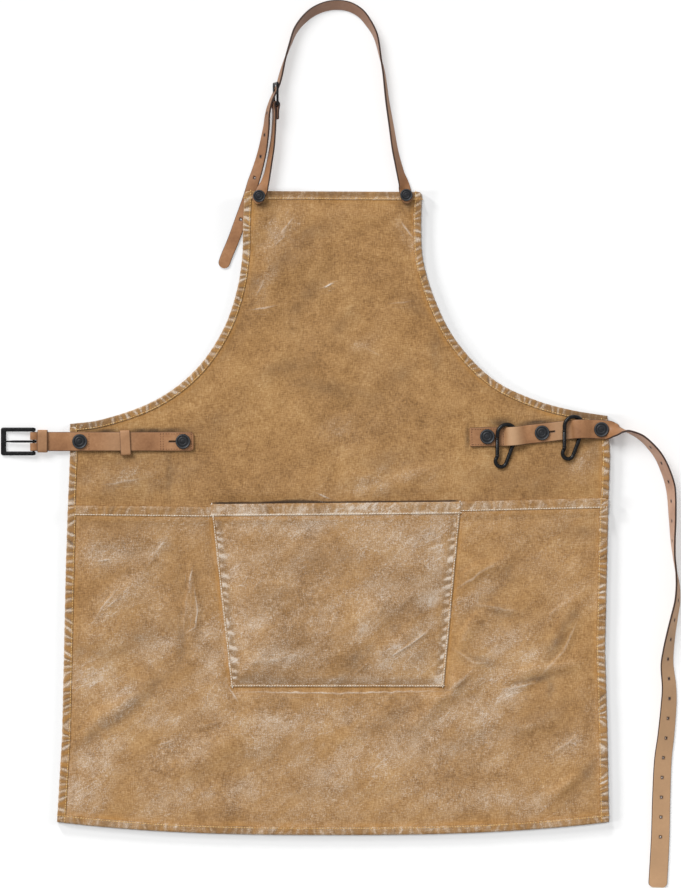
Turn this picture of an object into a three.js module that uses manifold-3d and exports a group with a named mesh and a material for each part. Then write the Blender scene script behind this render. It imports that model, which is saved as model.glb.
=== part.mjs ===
// A waxed-canvas grill apron lying flat, with buttoned leather straps, two buckles and two snap hooks.
// Millimetres. X runs across the apron, Y up towards the neck loop, Z up from the table that it lies on.
import * as THREE from 'three';
import Module from 'manifold-3d';
import { mergeVertices } from 'three/addons/utils/BufferGeometryUtils.js';

const wasm = await Module();
wasm.setup();
const { degToRad, smoothstep, lerp } = THREE.MathUtils;

// Cloth
const GAP = 0.3;
const CANVAS = 1.2;
const HEM = 2.4;
const BIB_HEM_WIDTH = 12;
const SKIRT_HEM_WIDTH = 14;
const HEM_STEP = 1.6;
const LAP_WIDTH = 13;
const LAP_SLOPE = 10;
const EDGE_SPACING = 20;
const FIELD_SPACING = 27;
const FOLD_SPACING = 20;
const HEM_BOW = 16.5;
const HEM_BOW_POWER = 2.6;
const HEM_LINE = -480;
const POCKET_SLACK = 6.6;
const POCKET_SLACK_REACH = 60;
const LAP_FOOT = LAP_WIDTH + 1 + LAP_SLOPE;

// Distances over which folds die out towards an edge, a seam and the waist straps.
const CALM_EDGE = { from: 14, to: 34 };
const CALM_SEAM = { from: 3, to: 20 };
const CALM_STRAP = { from: 18, to: 40 };
const CALM_POCKET = { from: 1, to: 14 };

// How far the canvas is raised over the neck strap's tail.
const TAIL_LIFT = { height: 4.5, full: 16, reach: 42 };

// Leather
const WAIST_STRAP = { width: 24.2, thick: 2.6 };
const NECK_STRAP = { width: 15, thick: 2.5 };
const KEEPER_WALL = 1.6;
const HOLE_RADIUS = 1.5;
const WAIST_HOLES = { count: 21, pitch: 25.2, fromTip: 64 };
const NECK_HOLES = { count: 7, fromTip: 66 };
const SLIT_WIDTH = 1;
const NECK_SLOT = 12;
const FOLD_SLOT = 19;
const TONGUE_ROOM = 1.1;
const TABLE_ROOM = 0.1;
const BEND_STEP = 16;
const LONGEST_STEP = 14;
const LEAST_STEP = 0.4;
const ROUTE_STEP = 0.5;

// Metal
const SHANK_RADIUS = 2;
const SHANK_HOLE_RADIUS = 2.6;
const TACK_THICK = 0.6;
const TACK_LIFT = 1;
const TACK_LIFT_REACH = 22;
const CAP_HEIGHT = 3;
const CAP_BEVEL = 1.3;
const WAIST_CAP = 9.5;
const NECK_CAP = 7.8;
const TACK_RADIUS = 4;
const BAR_RADIUS = 1.5;
const WAIST_BUCKLE = {
  reach: 42, heel: 2.7, width: 35.5, side: 5.2, front: 6.8, thick: 3.4, corner: 3, tongue: 3, tip: 37.5,
};
const NECK_BUCKLE = {
  reach: 28, heel: 1.9, width: 22, side: 2.8, front: 3.2, thick: 2.6, corner: 2, tongue: 2.4, tip: 27.4,
};
const HOOK = {
  wire: 2.5, smallRadius: 7.15, bigRadius: 12.2, bigX: 7.5, bigY: 34.3,
  gateX: -4.95, hingeY: 6.35, noseY: 29.8,
};

// Places of the hard pieces
const WAIST_BAR = { x: -389.4, y: 3.2, z: 6.4, drop: 6.4 };
const NECK_BAR = { x: -82.2, y: 430.5, z: 11, lean: 15 };
const HOOKS = [
  { name: 'carabiner_1', x: 203.7, y: -21.8, z: 5.9 },
  { name: 'carabiner_2', x: 288.7, y: -11.8, z: 6.4 },
];
const HOOK_LEAN = { along: 4, across: 11.6 };
const BUTTONS = [
  { name: 'button_neck_left', x: -103.1, y: 314.3, cap: NECK_CAP, strap: 'neckShort', slit: 9 },
  { name: 'button_neck_right', x: 83.6, y: 315.8, cap: NECK_CAP, strap: 'neckLong', slit: 9 },
  { name: 'button_waist_left_outer', x: -330.8, y: 3.2, cap: WAIST_CAP, strap: 'waistLeft', slit: -9 },
  { name: 'button_waist_left_inner', x: -199.8, y: 3.2, cap: WAIST_CAP, strap: 'waistLeft', slit: 10 },
  { name: 'button_waist_right_inner', x: 186.4, y: 9.3, cap: WAIST_CAP, strap: 'waistRight', slit: -9 },
  { name: 'button_waist_right_middle', x: 255.7, y: 14.1, cap: WAIST_CAP, strap: 'waistRight', slit: 11 },
  { name: 'button_waist_right_outer', x: 331, y: 18.4, cap: WAIST_CAP, strap: 'waistRight', slit: -9 },
];

// Outline of the cloth: the sides at each height, the waist seam, and the two armholes from the waist up.
const SIDES = [
  { y: 36, left: -343.5, right: 339.1 },
  { y: -15, left: -343.5, right: 342.3 },
  { y: -70, left: -345.8, right: 340.4 },
  { y: -150, left: -348.6, right: 338.4 },
  { y: -260, left: -351, right: 335.9 },
  { y: -370, left: -353.5, right: 339 },
  { y: -480, left: -360, right: 341 },
];
const SEAM = [
  { x: -346, y: -78 },
  { x: -166, y: -80 },
  { x: 158, y: -73 },
  { x: 340, y: -68.6 },
];
const RIGHT_ARMHOLE = [
  { x: 339.1, y: 35.6 },
  { x: 292.7, y: 43.2 },
  { x: 247, y: 55.9 },
  { x: 194.9, y: 81.3 },
  { x: 146.1, y: 132.1 },
  { x: 120, y: 182.9 },
  { x: 104.8, y: 233.7 },
  { x: 102.4, y: 275 },
  { x: 103.5, y: 320 },
];
const LEFT_ARMHOLE = [
  { x: -343.5, y: 25.4 },
  { x: -305.4, y: 30.5 },
  { x: -234.3, y: 55.9 },
  { x: -184.2, y: 94 },
  { x: -149.2, y: 144.8 },
  { x: -131.4, y: 195.6 },
  { x: -124.6, y: 240 },
  { x: -123.8, y: 275 },
  { x: -121.9, y: 321.3 },
];
const POCKET = {
  topLeft: { x: -165, y: -76.2 },
  topRight: { x: 153.4, y: -73.2 },
  bottomRight: { x: 131.4, y: -308.6 },
  bottomLeft: { x: -139.1, y: -308.6 },
};

// Folds: each runs from one end to the other, with its height at the middle and its half width.
const BIB_FOLDS = [
  { x0: -108.6, y0: 193, x1: -7, y1: 248.9, height: 4, reach: 24 },
  { x0: -51.4, y0: 116.8, x1: 40, y1: 53.3, height: 4, reach: 22 },
  { x0: -110, y0: 66, x1: -53, y1: 122, height: 3.5, reach: 22 },
  { x0: -318.1, y0: -46, x1: -221.6, y1: -38, height: 4, reach: 20 },
  { x0: -13.3, y0: -50, x1: 65.4, y1: -28, height: 3.5, reach: 14 },
  { x0: 66, y0: -48, x1: 140, y1: -34, height: 3.5, reach: 14 },
  { x0: 15, y0: 195, x1: 76, y1: 221, height: 3, reach: 18 },
];
const SKIRT_FOLDS = [
  { x0: -335, y0: -386, x1: -229, y1: -303.5, height: 6, reach: 20 },
  { x0: -187.3, y0: -147, x1: -182.2, y1: -249, height: 5, reach: 11 },
  { x0: 160, y0: -182, x1: 218, y1: -142, height: 5, reach: 13 },
  { x0: 152, y0: -268, x1: 203, y1: -213, height: 5, reach: 13 },
  { x0: 69, y0: -378, x1: 190, y1: -284, height: 7, reach: 20 },
  { x0: 203, y0: -312, x1: 312, y1: -275, height: 6, reach: 13 },
  { x0: 269, y0: -265, x1: 314, y1: -198, height: 5, reach: 15 },
  { x0: 209, y0: -382, x1: 294, y1: -345, height: 5, reach: 17 },
  { x0: -318, y0: -226, x1: -223, y1: -147, height: 5, reach: 22 },
  { x0: -242, y0: -439, x1: -115, y1: -370, height: 4.5, reach: 24 },
  { x0: 262, y0: -455, x1: 314, y1: -425, height: 5, reach: 13 },
];
const POCKET_FOLDS = [
  { x0: 35, y0: -284, x1: 120, y1: -203, height: 3.5, reach: 17 },
  { x0: 0, y0: -240, x1: 73, y1: -185, height: 2.5, reach: 16 },
  { x0: -122, y0: -262, x1: -52, y1: -288, height: 2.5, reach: 14 },
];

// Strap routes along the middle of the leather. Roll turns the strap about its own length from lying
// flat with the grain side up. A row without z stands with its lower edge on the table, and a covered
// row lies under the bib.
const NECK_LONG_START = [
  { x: 84.9, y: 305.4, z: 5.2, roll: 0 },
  { x: 83.6, y: 315.8, z: 5.3, roll: 0 },
  { x: 81.5, y: 323.2, z: 5.5, roll: 3 },
  { x: 79.8, y: 329.5, z: 5.6, roll: 14 },
  { x: 74.9, y: 342.9, z: 5.4, roll: 30 },
  { x: 71.1, y: 358.1, roll: 43 },
  { x: 67.9, y: 373.4, roll: 52 },
  { x: 63.5, y: 403.9, roll: 63 },
  { x: 59.1, y: 434.3, roll: 73 },
  { x: 54.6, y: 472.4, roll: 83 },
  { x: 51.4, y: 487.7, roll: 90 },
  { x: 44.5, y: 518.2, roll: 108 },
  { x: 36.2, y: 533.4, roll: 120 },
  { x: 26, y: 546.2, roll: 130 },
  { x: 12.5, y: 554.4, roll: 137 },
  { x: -3.2, y: 557.2, roll: 140 },
  { x: -19.5, y: 555, roll: 137 },
  { x: -34, y: 548.8, roll: 130 },
  { x: -45.1, y: 540, roll: 121 },
  { x: -56.5, y: 525.8, roll: 108 },
  { x: -64.1, y: 506.7, z: 8.6, roll: 95 },
  { x: -71.4, y: 484, z: 9.6, roll: 84 },
];
const NECK_LONG_TAIL = [
  { x: -92.1, y: 419.1, z: 12, roll: 70 },
  { x: -93.6, y: 403.9, z: 9.8, roll: 62 },
  { x: -95.9, y: 388.6, z: 8.3, roll: 53 },
  { x: -98.6, y: 373.4, z: 6.9, roll: 44 },
  { x: -102.4, y: 358.1, z: 5.6, roll: 36 },
  { x: -107, y: 342.9, z: 4.3, roll: 25 },
  { x: -110.4, y: 333, z: 3.2, roll: 15 },
  { x: -113, y: 324, z: 1.9, roll: 4, covered: true },
  { x: -116.4, y: 313.1, z: 1.4, roll: 0, covered: true },
  { x: -127.6, y: 281.9, roll: 0, covered: true },
  { x: -135.9, y: 259.1, roll: 0 },
  { x: -145.4, y: 236.2, roll: 0 },
  { x: -149.6, y: 223.4, roll: 0 },
];
const NECK_SHORT_START = [
  { x: -106.7, y: 304.8, z: 8.7, roll: 0 },
  { x: -103.1, y: 314.3, z: 8.8, roll: 0 },
  { x: -98.8, y: 323.2, z: 9.4, roll: -6 },
  { x: -96.2, y: 329.5, z: 10, roll: -24 },
  { x: -92.1, y: 342.9, z: 10.3, roll: -50 },
  { x: -89.5, y: 358.1, z: 10.4, roll: -60 },
  { x: -87.2, y: 373.4, z: 10.5, roll: -67 },
  { x: -85.3, y: 388.6, z: 10.8, roll: -72 },
];
const WAIST_RIGHT = [
  { x: 164.1, y: 8.6, z: 3.8, roll: 0 },
  { x: 177, y: 9, z: 4.1, roll: 0 },
  { x: 186.4, y: 9.3, z: 4.1, roll: 0 },
  { x: 196, y: 9.4, z: 3.8, roll: 0 },
  { x: 206, y: 9.4, z: 3.5, roll: 0 },
  { x: 209.3, y: 9.4, z: 4.8, roll: 0 },
  { x: 212.4, y: 9.5, z: 8, roll: 0 },
  { x: 216, y: 9.7, z: 9.9, roll: 0 },
  { x: 223, y: 10.3, z: 9.9, roll: 0 },
  { x: 229, y: 11, z: 7.9, roll: 0 },
  { x: 236, y: 12, z: 4.9, roll: 0 },
  { x: 243, y: 12.8, z: 4.2, roll: 0 },
  { x: 255.7, y: 14.1, z: 4.2, roll: 0 },
  { x: 266, y: 15.3, z: 4.1, roll: 0 },
  { x: 283, y: 17.3, z: 4.1, roll: 0 },
  { x: 290.5, y: 18.1, z: 4.1, roll: 0 },
  { x: 293.8, y: 18.5, z: 5.4, roll: 0 },
  { x: 297, y: 18.8, z: 8.6, roll: 0 },
  { x: 301, y: 19, z: 10.3, roll: 0 },
  { x: 308, y: 19.2, z: 10.2, roll: 0 },
  { x: 314, y: 19.1, z: 7.9, roll: 0 },
  { x: 319.5, y: 19, z: 5.6, roll: 0 },
  { x: 331, y: 18.4, z: 5.3, roll: 0 },
  { x: 344, y: 17.6, z: 5.3, roll: 0 },
  { x: 349, y: 17.3, z: 9, roll: -42 },
  { x: 354, y: 17.3, roll: -74 },
  { x: 359, y: 17.2, roll: -92 },
  { x: 368, y: 15.2, roll: -97 },
  { x: 380.4, y: 8.9, roll: -103 },
  { x: 393.1, y: -2.5, roll: -107 },
  { x: 403.2, y: -15.2, roll: -110 },
  { x: 410.8, y: -30.5, roll: -113 },
  { x: 418.5, y: -54.6, roll: -114 },
  { x: 421, y: -92.7, roll: -106 },
  { x: 421.6, y: -121.9, roll: -97 },
  { x: 422.9, y: -141, roll: -90 },
  { x: 425.6, y: -162.6, roll: -86 },
  { x: 427.4, y: -180.3, roll: -78 },
  { x: 426.8, y: -199.4, roll: -72 },
  { x: 422.9, y: -219.7, roll: -67 },
  { x: 419.1, y: -238.8, roll: -62 },
  { x: 415.5, y: -261.6, roll: -54 },
  { x: 414, y: -279.4, roll: -47 },
  { x: 416.6, y: -308.6, roll: -40 },
  { x: 416.3, y: -328.9, roll: -33 },
  { x: 412.8, y: -369.6, roll: -27 },
  { x: 409.1, y: -400.1, roll: -22 },
  { x: 407, y: -449.6, roll: -16 },
  { x: 405.8, y: -500.4, roll: -12 },
  { x: 402.6, y: -562.6, roll: -6 },
];
const WAIST_LEFT_TOP = [
  { x: -186.6, z: 4 },
  { x: -199.8, z: 4.2 },
  { x: -210, z: 4.1 },
  { x: -236, z: 3.6 },
  { x: -262, z: 4.8 },
  { x: -273, z: 5.1 },
  { x: -284, z: 4.8 },
  { x: -300, z: 4.4 },
  { x: -320, z: 5.3 },
  { x: -330.8, z: 5.4 },
  { x: -343, z: 5.5 },
  { x: -357, z: 6.4 },
  { x: -371, z: 6.7 },
  { x: -381, z: 7.4 },
];
const WAIST_LEFT_UNDER = [
  { x: -384, z: 3.4 },
  { x: -372, z: 3.4 },
  { x: -357, z: 2.8 },
];
const KEEPERS = [
  { name: 'keeper_buckle', x: -378, y: 3.6, width: 12.6, across: 28.8, low: 0, high: 12, turn: 0 },
  { name: 'keeper_loose', x: -273, y: 1.7, width: 13, across: 31.8, low: 1.6, high: 8.7, turn: 3 },
];

// Colours
const CANVAS_LOOK = { color: 0xa57846, roughness: 0.85, metalness: 0 };
const LEATHER_LOOK = { color: 0xb8825a, roughness: 0.6, metalness: 0 };
const BLACK_METAL_LOOK = { color: 0x1c1d1f, roughness: 0.45, metalness: 0.9 };
const BUTTON_LOOK = { color: 0x33353a, roughness: 0.5, metalness: 0.85 };

const apron = new THREE.Group();

// Adds a named piece with its own material.
function addPiece(name, geometry, look, parent = apron) {
  const piece = new THREE.Mesh(geometry, new THREE.MeshStandardMaterial(look));
  piece.name = name;
  parent.add(piece);
  return piece;
}

const flat = ({ x, y }) => new THREE.Vector2(x, y);

// The value of a column at a key, on straight lines between the rows of a table sorted by that key.
function fromTable(rows, keyName, key, column) {
  const sorted = [...rows].sort((a, b) => a[keyName] - b[keyName]);
  const last = sorted.length - 2;
  const found = sorted.findIndex((row, i) => i <= last && key <= sorted[i + 1][keyName]);
  const i = found < 0 ? last : found;
  const [low, high] = [sorted[i], sorted[i + 1]];
  return lerp(low[column], high[column], (key - low[keyName]) / (high[keyName] - low[keyName]));
}

const seamY = (x) => fromTable(SEAM, 'x', x, 'y');
const belowSeam = (p) => seamY(p.x) - p.y;

function segmentDistance(p, a, b) {
  const along = b.clone().sub(a);
  const share = THREE.MathUtils.clamp(p.clone().sub(a).dot(along) / (along.lengthSq() || 1), 0, 1);
  return { distance: p.distanceTo(a.clone().addScaledVector(along, share)), share };
}

function lineDistance(p, line) {
  const pieces = line.slice(1).map((end, i) => segmentDistance(p, line[i], end).distance);
  return Math.min(...pieces);
}

// Whether a point lies inside a closed outline, by counting the sides that a ray crosses.
function isInside(p, outline) {
  let inside = false;
  outline.forEach((a, i) => {
    const b = outline[(i + 1) % outline.length];
    const crosses = (a.y > p.y) !== (b.y > p.y);
    if (crosses && p.x < a.x + ((p.y - a.y) / (b.y - a.y)) * (b.x - a.x)) inside = !inside;
  });
  return inside;
}

// Whether d lies inside the circle through a, b and c, which turn anticlockwise.
function inCircle(a, b, c, d) {
  const [ax, ay, bx, by, cx, cy] = [a.x - d.x, a.y - d.y, b.x - d.x, b.y - d.y, c.x - d.x, c.y - d.y];
  const [aa, bb, cc] = [ax * ax + ay * ay, bx * bx + by * by, cx * cx + cy * cy];
  return aa * (bx * cy - cx * by) - bb * (ax * cy - cx * ay) + cc * (ax * by - bx * ay) > 1e-6;
}

// Delaunay triangles of a set of points, added one at a time inside one wide triangle.
function delaunay(points) {
  const far = 1e5;
  const wide = [[-far, -far], [far, -far], [0, far]].map(([x, y]) => new THREE.Vector2(x, y));
  const all = [...points, ...wide];
  const count = points.length;
  let faces = [[count, count + 1, count + 2]];
  points.forEach((p, i) => {
    const kept = [];
    const edges = new Map();
    for (const face of faces) {
      const [a, b, c] = face;
      if (!inCircle(all[a], all[b], all[c], p)) {
        kept.push(face);
        continue;
      }
      for (const [from, to] of [[a, b], [b, c], [c, a]]) {
        if (!edges.delete(`${to}_${from}`)) edges.set(`${from}_${to}`, [from, to, i]);
      }
    }
    faces = [...kept, ...edges.values()];
  });
  return faces.filter((face) => Math.max(...face) < count);
}

// A closed wall over a flat outline: topOf and bottomOf place each flat point on its two faces.
function wallOver(outline, holes, inner, topOf, bottomOf) {
  const rims = holes.map((hole) => (THREE.ShapeUtils.isClockWise(hole) ? hole : [...hole].reverse()));
  const points = [...outline, ...rims.flat(), ...inner];
  const middleOf = (face) => {
    const sum = face.reduce((total, i) => total.add(points[i]), new THREE.Vector2());
    return sum.divideScalar(3);
  };
  const solid = (p) => isInside(p, outline) && !rims.some((rim) => isInside(p, rim));
  const faces = delaunay(points).filter((face) => solid(middleOf(face)));
  const count = points.length;
  const positions = [...points.map(topOf), ...points.map(bottomOf)].flatMap((p) => p.toArray());
  const index = faces.flatMap(([a, b, c]) => [a, b, c, count + a, count + c, count + b]);
  let first = 0;
  for (const rim of [outline, ...rims]) {
    for (let k = 0; k < rim.length; k++) {
      const a = first + k;
      const b = first + ((k + 1) % rim.length);
      index.push(count + a, count + b, b, count + a, b, a);
    }
    first += rim.length;
  }
  const geometry = new THREE.BufferGeometry();
  geometry.setAttribute('position', new THREE.Float32BufferAttribute(positions, 3));
  geometry.setIndex(index);
  geometry.computeVertexNormals();
  return geometry;
}

function circleAt(x, y, radius, sides) {
  return Array.from({ length: sides }, (_, k) => {
    const angle = (2 * Math.PI * k) / sides;
    return new THREE.Vector2(x + radius * Math.cos(angle), y + radius * Math.sin(angle));
  });
}

// Points along a line at about an even spacing, both ends included.
function spread(line, spacing) {
  const places = [line[0]];
  line.slice(1).forEach((end, i) => {
    const steps = Math.max(1, Math.round(line[i].distanceTo(end) / spacing));
    for (let k = 1; k <= steps; k++) places.push(line[i].clone().lerp(end, k / steps));
  });
  return places;
}

function spreadCurve(rows, spacing) {
  const curve = new THREE.SplineCurve(rows.map(flat));
  return curve.getSpacedPoints(Math.round(curve.getLength() / spacing));
}

// Height of a table of folds at a point: each rises to its ridge and dies out at both ends.
function foldHeight(folds, p) {
  return folds.reduce((height, fold) => {
    const { distance, share } = segmentDistance(p, foldStart(fold), foldEnd(fold));
    const swell = Math.sqrt(4 * share * (1 - share));
    return Math.max(height, fold.height * swell * (1 - smoothstep(distance, 0, fold.reach)));
  }, 0);
}

const foldStart = ({ x0, y0 }) => new THREE.Vector2(x0, y0);
const foldEnd = ({ x1, y1 }) => new THREE.Vector2(x1, y1);

// Points along each fold's ridge and its two feet.
function foldGuides(folds) {
  return folds.flatMap((fold) => {
    const [start, end] = [foldStart(fold), foldEnd(fold)];
    const side = end.clone().sub(start).normalize().rotateAround(new THREE.Vector2(), Math.PI / 2);
    return [0, fold.reach, -fold.reach].flatMap((offset) => {
      const shift = side.clone().multiplyScalar(offset);
      return spread([start.clone().add(shift), end.clone().add(shift)], FOLD_SPACING);
    });
  });
}

// Points of an outline moved inwards, without those that come too near another stretch of it.
function insetRow(outline, hemmed, distance) {
  const count = outline.length;
  const row = [];
  for (let i = 0; i < count; i++) {
    const before = outline[(i + count - 1) % count];
    const after = outline[(i + 1) % count];
    const normals = [outline[i].clone().sub(before), after.clone().sub(outline[i])];
    normals.forEach((n) => n.normalize().rotateAround(new THREE.Vector2(), Math.PI / 2));
    const miter = normals[0].clone().add(normals[1]).divideScalar(1 + normals[0].dot(normals[1]));
    row.push(outline[i].clone().addScaledVector(miter, distance));
  }
  const nearHem = (p) => Math.min(...hemmed.map((line) => lineDistance(p, line)));
  return row.filter((p) => isInside(p, outline) && Math.abs(nearHem(p) - distance) < 0.05 * distance);
}

// A canvas panel. Its edges run anticlockwise, and a hemmed edge is thicker over the hem's width.
function canvasPanel({ edges, hemWidth, holes, guides, baseOf, plain = () => false }) {
  const outline = edges.flatMap((edge) => edge.line.slice(0, -1));
  const closed = [...outline, outline[0]];
  const hemmed = edges.filter((edge) => edge.hem).map((edge) => edge.line);
  const fromHem = (p) => Math.min(Infinity, ...hemmed.map((line) => lineDistance(p, line)));
  const rows = [hemWidth, hemWidth + HEM_STEP].flatMap((distance) => insetRow(outline, hemmed, distance));
  const taken = [...outline, ...holes.flat()];
  const inner = [];
  const offer = (p, clear, room) => {
    const near = [...taken, ...inner].some((other) => other.distanceTo(p) < clear);
    if (near || !isInside(p, outline) || lineDistance(p, closed) < room) return;
    if (holes.some((hole) => isInside(p, hole))) return;
    inner.push(p);
  };
  rows.forEach((p) => offer(p, HEM_STEP * 0.9, HEM_STEP));
  const pastHem = (p) => fromHem(p) > hemWidth + 3 * HEM_STEP;
  guides.filter(pastHem).forEach((p) => offer(p, FOLD_SPACING / 4, HEM_STEP));
  const box = new THREE.Box2().setFromPoints(outline);
  const rise = FIELD_SPACING * Math.sqrt(3 / 4);
  for (let row = 0; box.min.y + row * rise < box.max.y; row++) {
    const shift = (row % 2) * FIELD_SPACING * 0.5;
    for (let x = box.min.x + shift; x < box.max.x; x += FIELD_SPACING) {
      const p = new THREE.Vector2(x, box.min.y + row * rise);
      if (pastHem(p)) offer(p, FIELD_SPACING * 0.6, FIELD_SPACING * 0.4);
    }
  }
  const thickAt = (p) => (fromHem(p) < hemWidth + HEM_STEP / 2 && !plain(p) ? HEM : CANVAS);
  const bottomOf = (p) => new THREE.Vector3(p.x, p.y, baseOf(p));
  const topOf = (p) => new THREE.Vector3(p.x, p.y, baseOf(p) + thickAt(p));
  return wallOver(outline, holes, inner, topOf, bottomOf);
}

// How far the canvas is raised over the buttons' tacks and over the neck strap's tail.
const tailLine = NECK_LONG_TAIL.filter(({ covered }) => covered).map(flat);

function tackLift(p) {
  const nearest = Math.min(...BUTTONS.map((button) => p.distanceTo(flat(button))));
  return TACK_LIFT * (1 - smoothstep(nearest, 1.5 * TACK_RADIUS, TACK_LIFT_REACH));
}

function tailLift(p) {
  return TAIL_LIFT.height * (1 - smoothstep(lineDistance(p, tailLine), TAIL_LIFT.full, TAIL_LIFT.reach));
}

const bibLift = (p) => Math.max(tackLift(p), tailLift(p));

// Height of the skirt over the lap: it lies on the bib's edge and slopes down to the table below it.
const lapLift = (p) => (CANVAS + GAP) * (1 - smoothstep(belowSeam(p), LAP_WIDTH + 1, LAP_FOOT));

const fade = (distance, { from, to }) => smoothstep(distance, from, to);
const sideLine = (column, heights) => {
  return heights.map((y) => new THREE.Vector2(fromTable(SIDES, 'y', y, column), y));
};
const seamPoint = (x, below) => new THREE.Vector2(x, seamY(x) - below);
const seamRow = (below) => spread(SEAM.map(({ x }) => seamPoint(x, below)), FIELD_SPACING);
const strapLines = [
  WAIST_LEFT_TOP.map(({ x }) => new THREE.Vector2(x, WAIST_BAR.y)),
  WAIST_RIGHT.filter(({ roll }) => roll === 0).map(flat),
];

function bibPanel() {
  const [left, right] = [SEAM[0], SEAM[SEAM.length - 1]];
  const rightArm = spreadCurve(RIGHT_ARMHOLE, EDGE_SPACING);
  const leftArm = spreadCurve(LEFT_ARMHOLE, EDGE_SPACING).reverse();
  const rightHeights = [-LAP_WIDTH, 2, 9, 34, 60, 84].map((rise) => right.y + rise);
  const leftHeights = [80, 58, 34, 9, 2, -LAP_WIDTH].map((rise) => left.y + rise);
  const rightSide = [...sideLine('right', rightHeights), rightArm[0]];
  const leftSide = [leftArm[leftArm.length - 1], ...sideLine('left', leftHeights)];
  const lapRow = spread(SEAM.slice(1, -1).map(({ x }) => seamPoint(x, LAP_WIDTH)), EDGE_SPACING);
  const edges = [
    { line: [leftSide[leftSide.length - 1], ...lapRow, rightSide[0]], hem: false },
    { line: rightSide, hem: true },
    { line: rightArm, hem: true },
    { line: spread([rightArm[rightArm.length - 1], leftArm[0]], EDGE_SPACING), hem: true },
    { line: leftArm, hem: true },
    { line: leftSide, hem: true },
  ];
  const rim = edges.flatMap((edge) => edge.line);
  const calm = (p) => {
    const fromStraps = Math.min(...strapLines.map((line) => lineDistance(p, line)));
    const fromSeam = fade(-belowSeam(p), CALM_SEAM);
    return fade(fromStraps, CALM_STRAP) * fade(lineDistance(p, rim), CALM_EDGE) * fromSeam;
  };
  return canvasPanel({
    edges,
    hemWidth: BIB_HEM_WIDTH,
    holes: BUTTONS.map(({ x, y }) => circleAt(x, y, SHANK_HOLE_RADIUS, 6)),
    guides: [...seamRow(-2), ...foldGuides(BIB_FOLDS)],
    baseOf: (p) => bibLift(p) + foldHeight(BIB_FOLDS, p) * calm(p),
    plain: (p) => belowSeam(p) > -5,
  });
}

const pocketCorners = Object.values(POCKET).map(flat);
const [pocketTL, pocketTR, pocketBR, pocketBL] = pocketCorners;

function skirtPanel() {
  const heights = [HEM_LINE, -450, -425, -400, -370, -340, -315, -288, -260, -235, -205, -178, -150, -125];
  const ends = [SEAM[0], SEAM[SEAM.length - 1]];
  const lapHeights = (seam) => [LAP_FOOT, LAP_WIDTH + 1].map((below) => seam.y - below);
  const left = [...sideLine('left', heights), ...sideLine('left', lapHeights(ends[0])), flat(ends[0])];
  const right = [...sideLine('right', heights), ...sideLine('right', lapHeights(ends[1])), flat(ends[1])];
  const halfWidth = (right[0].x - left[0].x) / 2;
  const middle = (right[0].x + left[0].x) / 2;
  const bowed = (x) => HEM_LINE - HEM_BOW * (1 - Math.abs((x - middle) / halfWidth) ** HEM_BOW_POWER);
  const bottom = spread([left[0], right[0]], EDGE_SPACING).map((p) => new THREE.Vector2(p.x, bowed(p.x)));
  const edges = [
    { line: bottom, hem: true },
    { line: right, hem: true },
    { line: [...seamRow(0)].reverse(), hem: false },
    { line: [...left].reverse(), hem: true },
  ];
  const rim = edges.flatMap((edge) => edge.line);
  const sewn = spread([pocketTR, pocketBR, pocketBL, pocketTL], FIELD_SPACING);
  const calm = (p) => {
    const fromPocket = isInside(p, pocketCorners) ? 0 : lineDistance(p, sewn);
    return fade(fromPocket, CALM_POCKET) * fade(lineDistance(p, rim), CALM_EDGE);
  };
  const guides = [...seamRow(LAP_WIDTH + 1), ...seamRow(LAP_FOOT), ...sewn];
  return canvasPanel({
    edges,
    hemWidth: SKIRT_HEM_WIDTH,
    holes: [],
    guides: [...guides, ...foldGuides(SKIRT_FOLDS)],
    baseOf: (p) => lapLift(p) + foldHeight(SKIRT_FOLDS, p) * calm(p),
  });
}

// The pocket lies on the skirt at its three sewn sides and stands off it between them.
function frontPocket() {
  const marks = [LAP_WIDTH + 1, LAP_FOOT];
  const side = (top, bottom) => {
    const shares = marks.map((below) => (top.y - seamY(top.x) + below) / (top.y - bottom.y));
    const upper = shares.map((share) => top.clone().lerp(bottom, share));
    return [top, ...upper, ...spread([upper[upper.length - 1], bottom], EDGE_SPACING).slice(1)];
  };
  const [left, right] = [side(pocketTL, pocketBL), side(pocketTR, pocketBR)];
  const edges = [
    { line: left, hem: false },
    { line: spread([pocketBL, pocketBR], EDGE_SPACING), hem: false },
    { line: [...right].reverse(), hem: false },
    { line: spread([pocketTR, pocketTL], EDGE_SPACING), hem: true },
  ];
  const sewn = edges.slice(0, 3).map((edge) => edge.line);
  const slack = (p) => {
    const fromSewn = Math.min(...sewn.map((line) => lineDistance(p, line)));
    return smoothstep(fromSewn, 0, POCKET_SLACK_REACH);
  };
  const rows = marks.flatMap((below) => {
    return spread([seamPoint(pocketTL.x, below), seamPoint(pocketTR.x, below)], FIELD_SPACING);
  });
  return canvasPanel({
    edges,
    hemWidth: SKIRT_HEM_WIDTH,
    holes: [],
    guides: [...rows, ...foldGuides(POCKET_FOLDS)],
    baseOf: (p) => {
      const seat = lapLift(p) + CANVAS + GAP;
      return seat + slack(p) * (POCKET_SLACK + foldHeight(POCKET_FOLDS, p));
    },
  });
}

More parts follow.
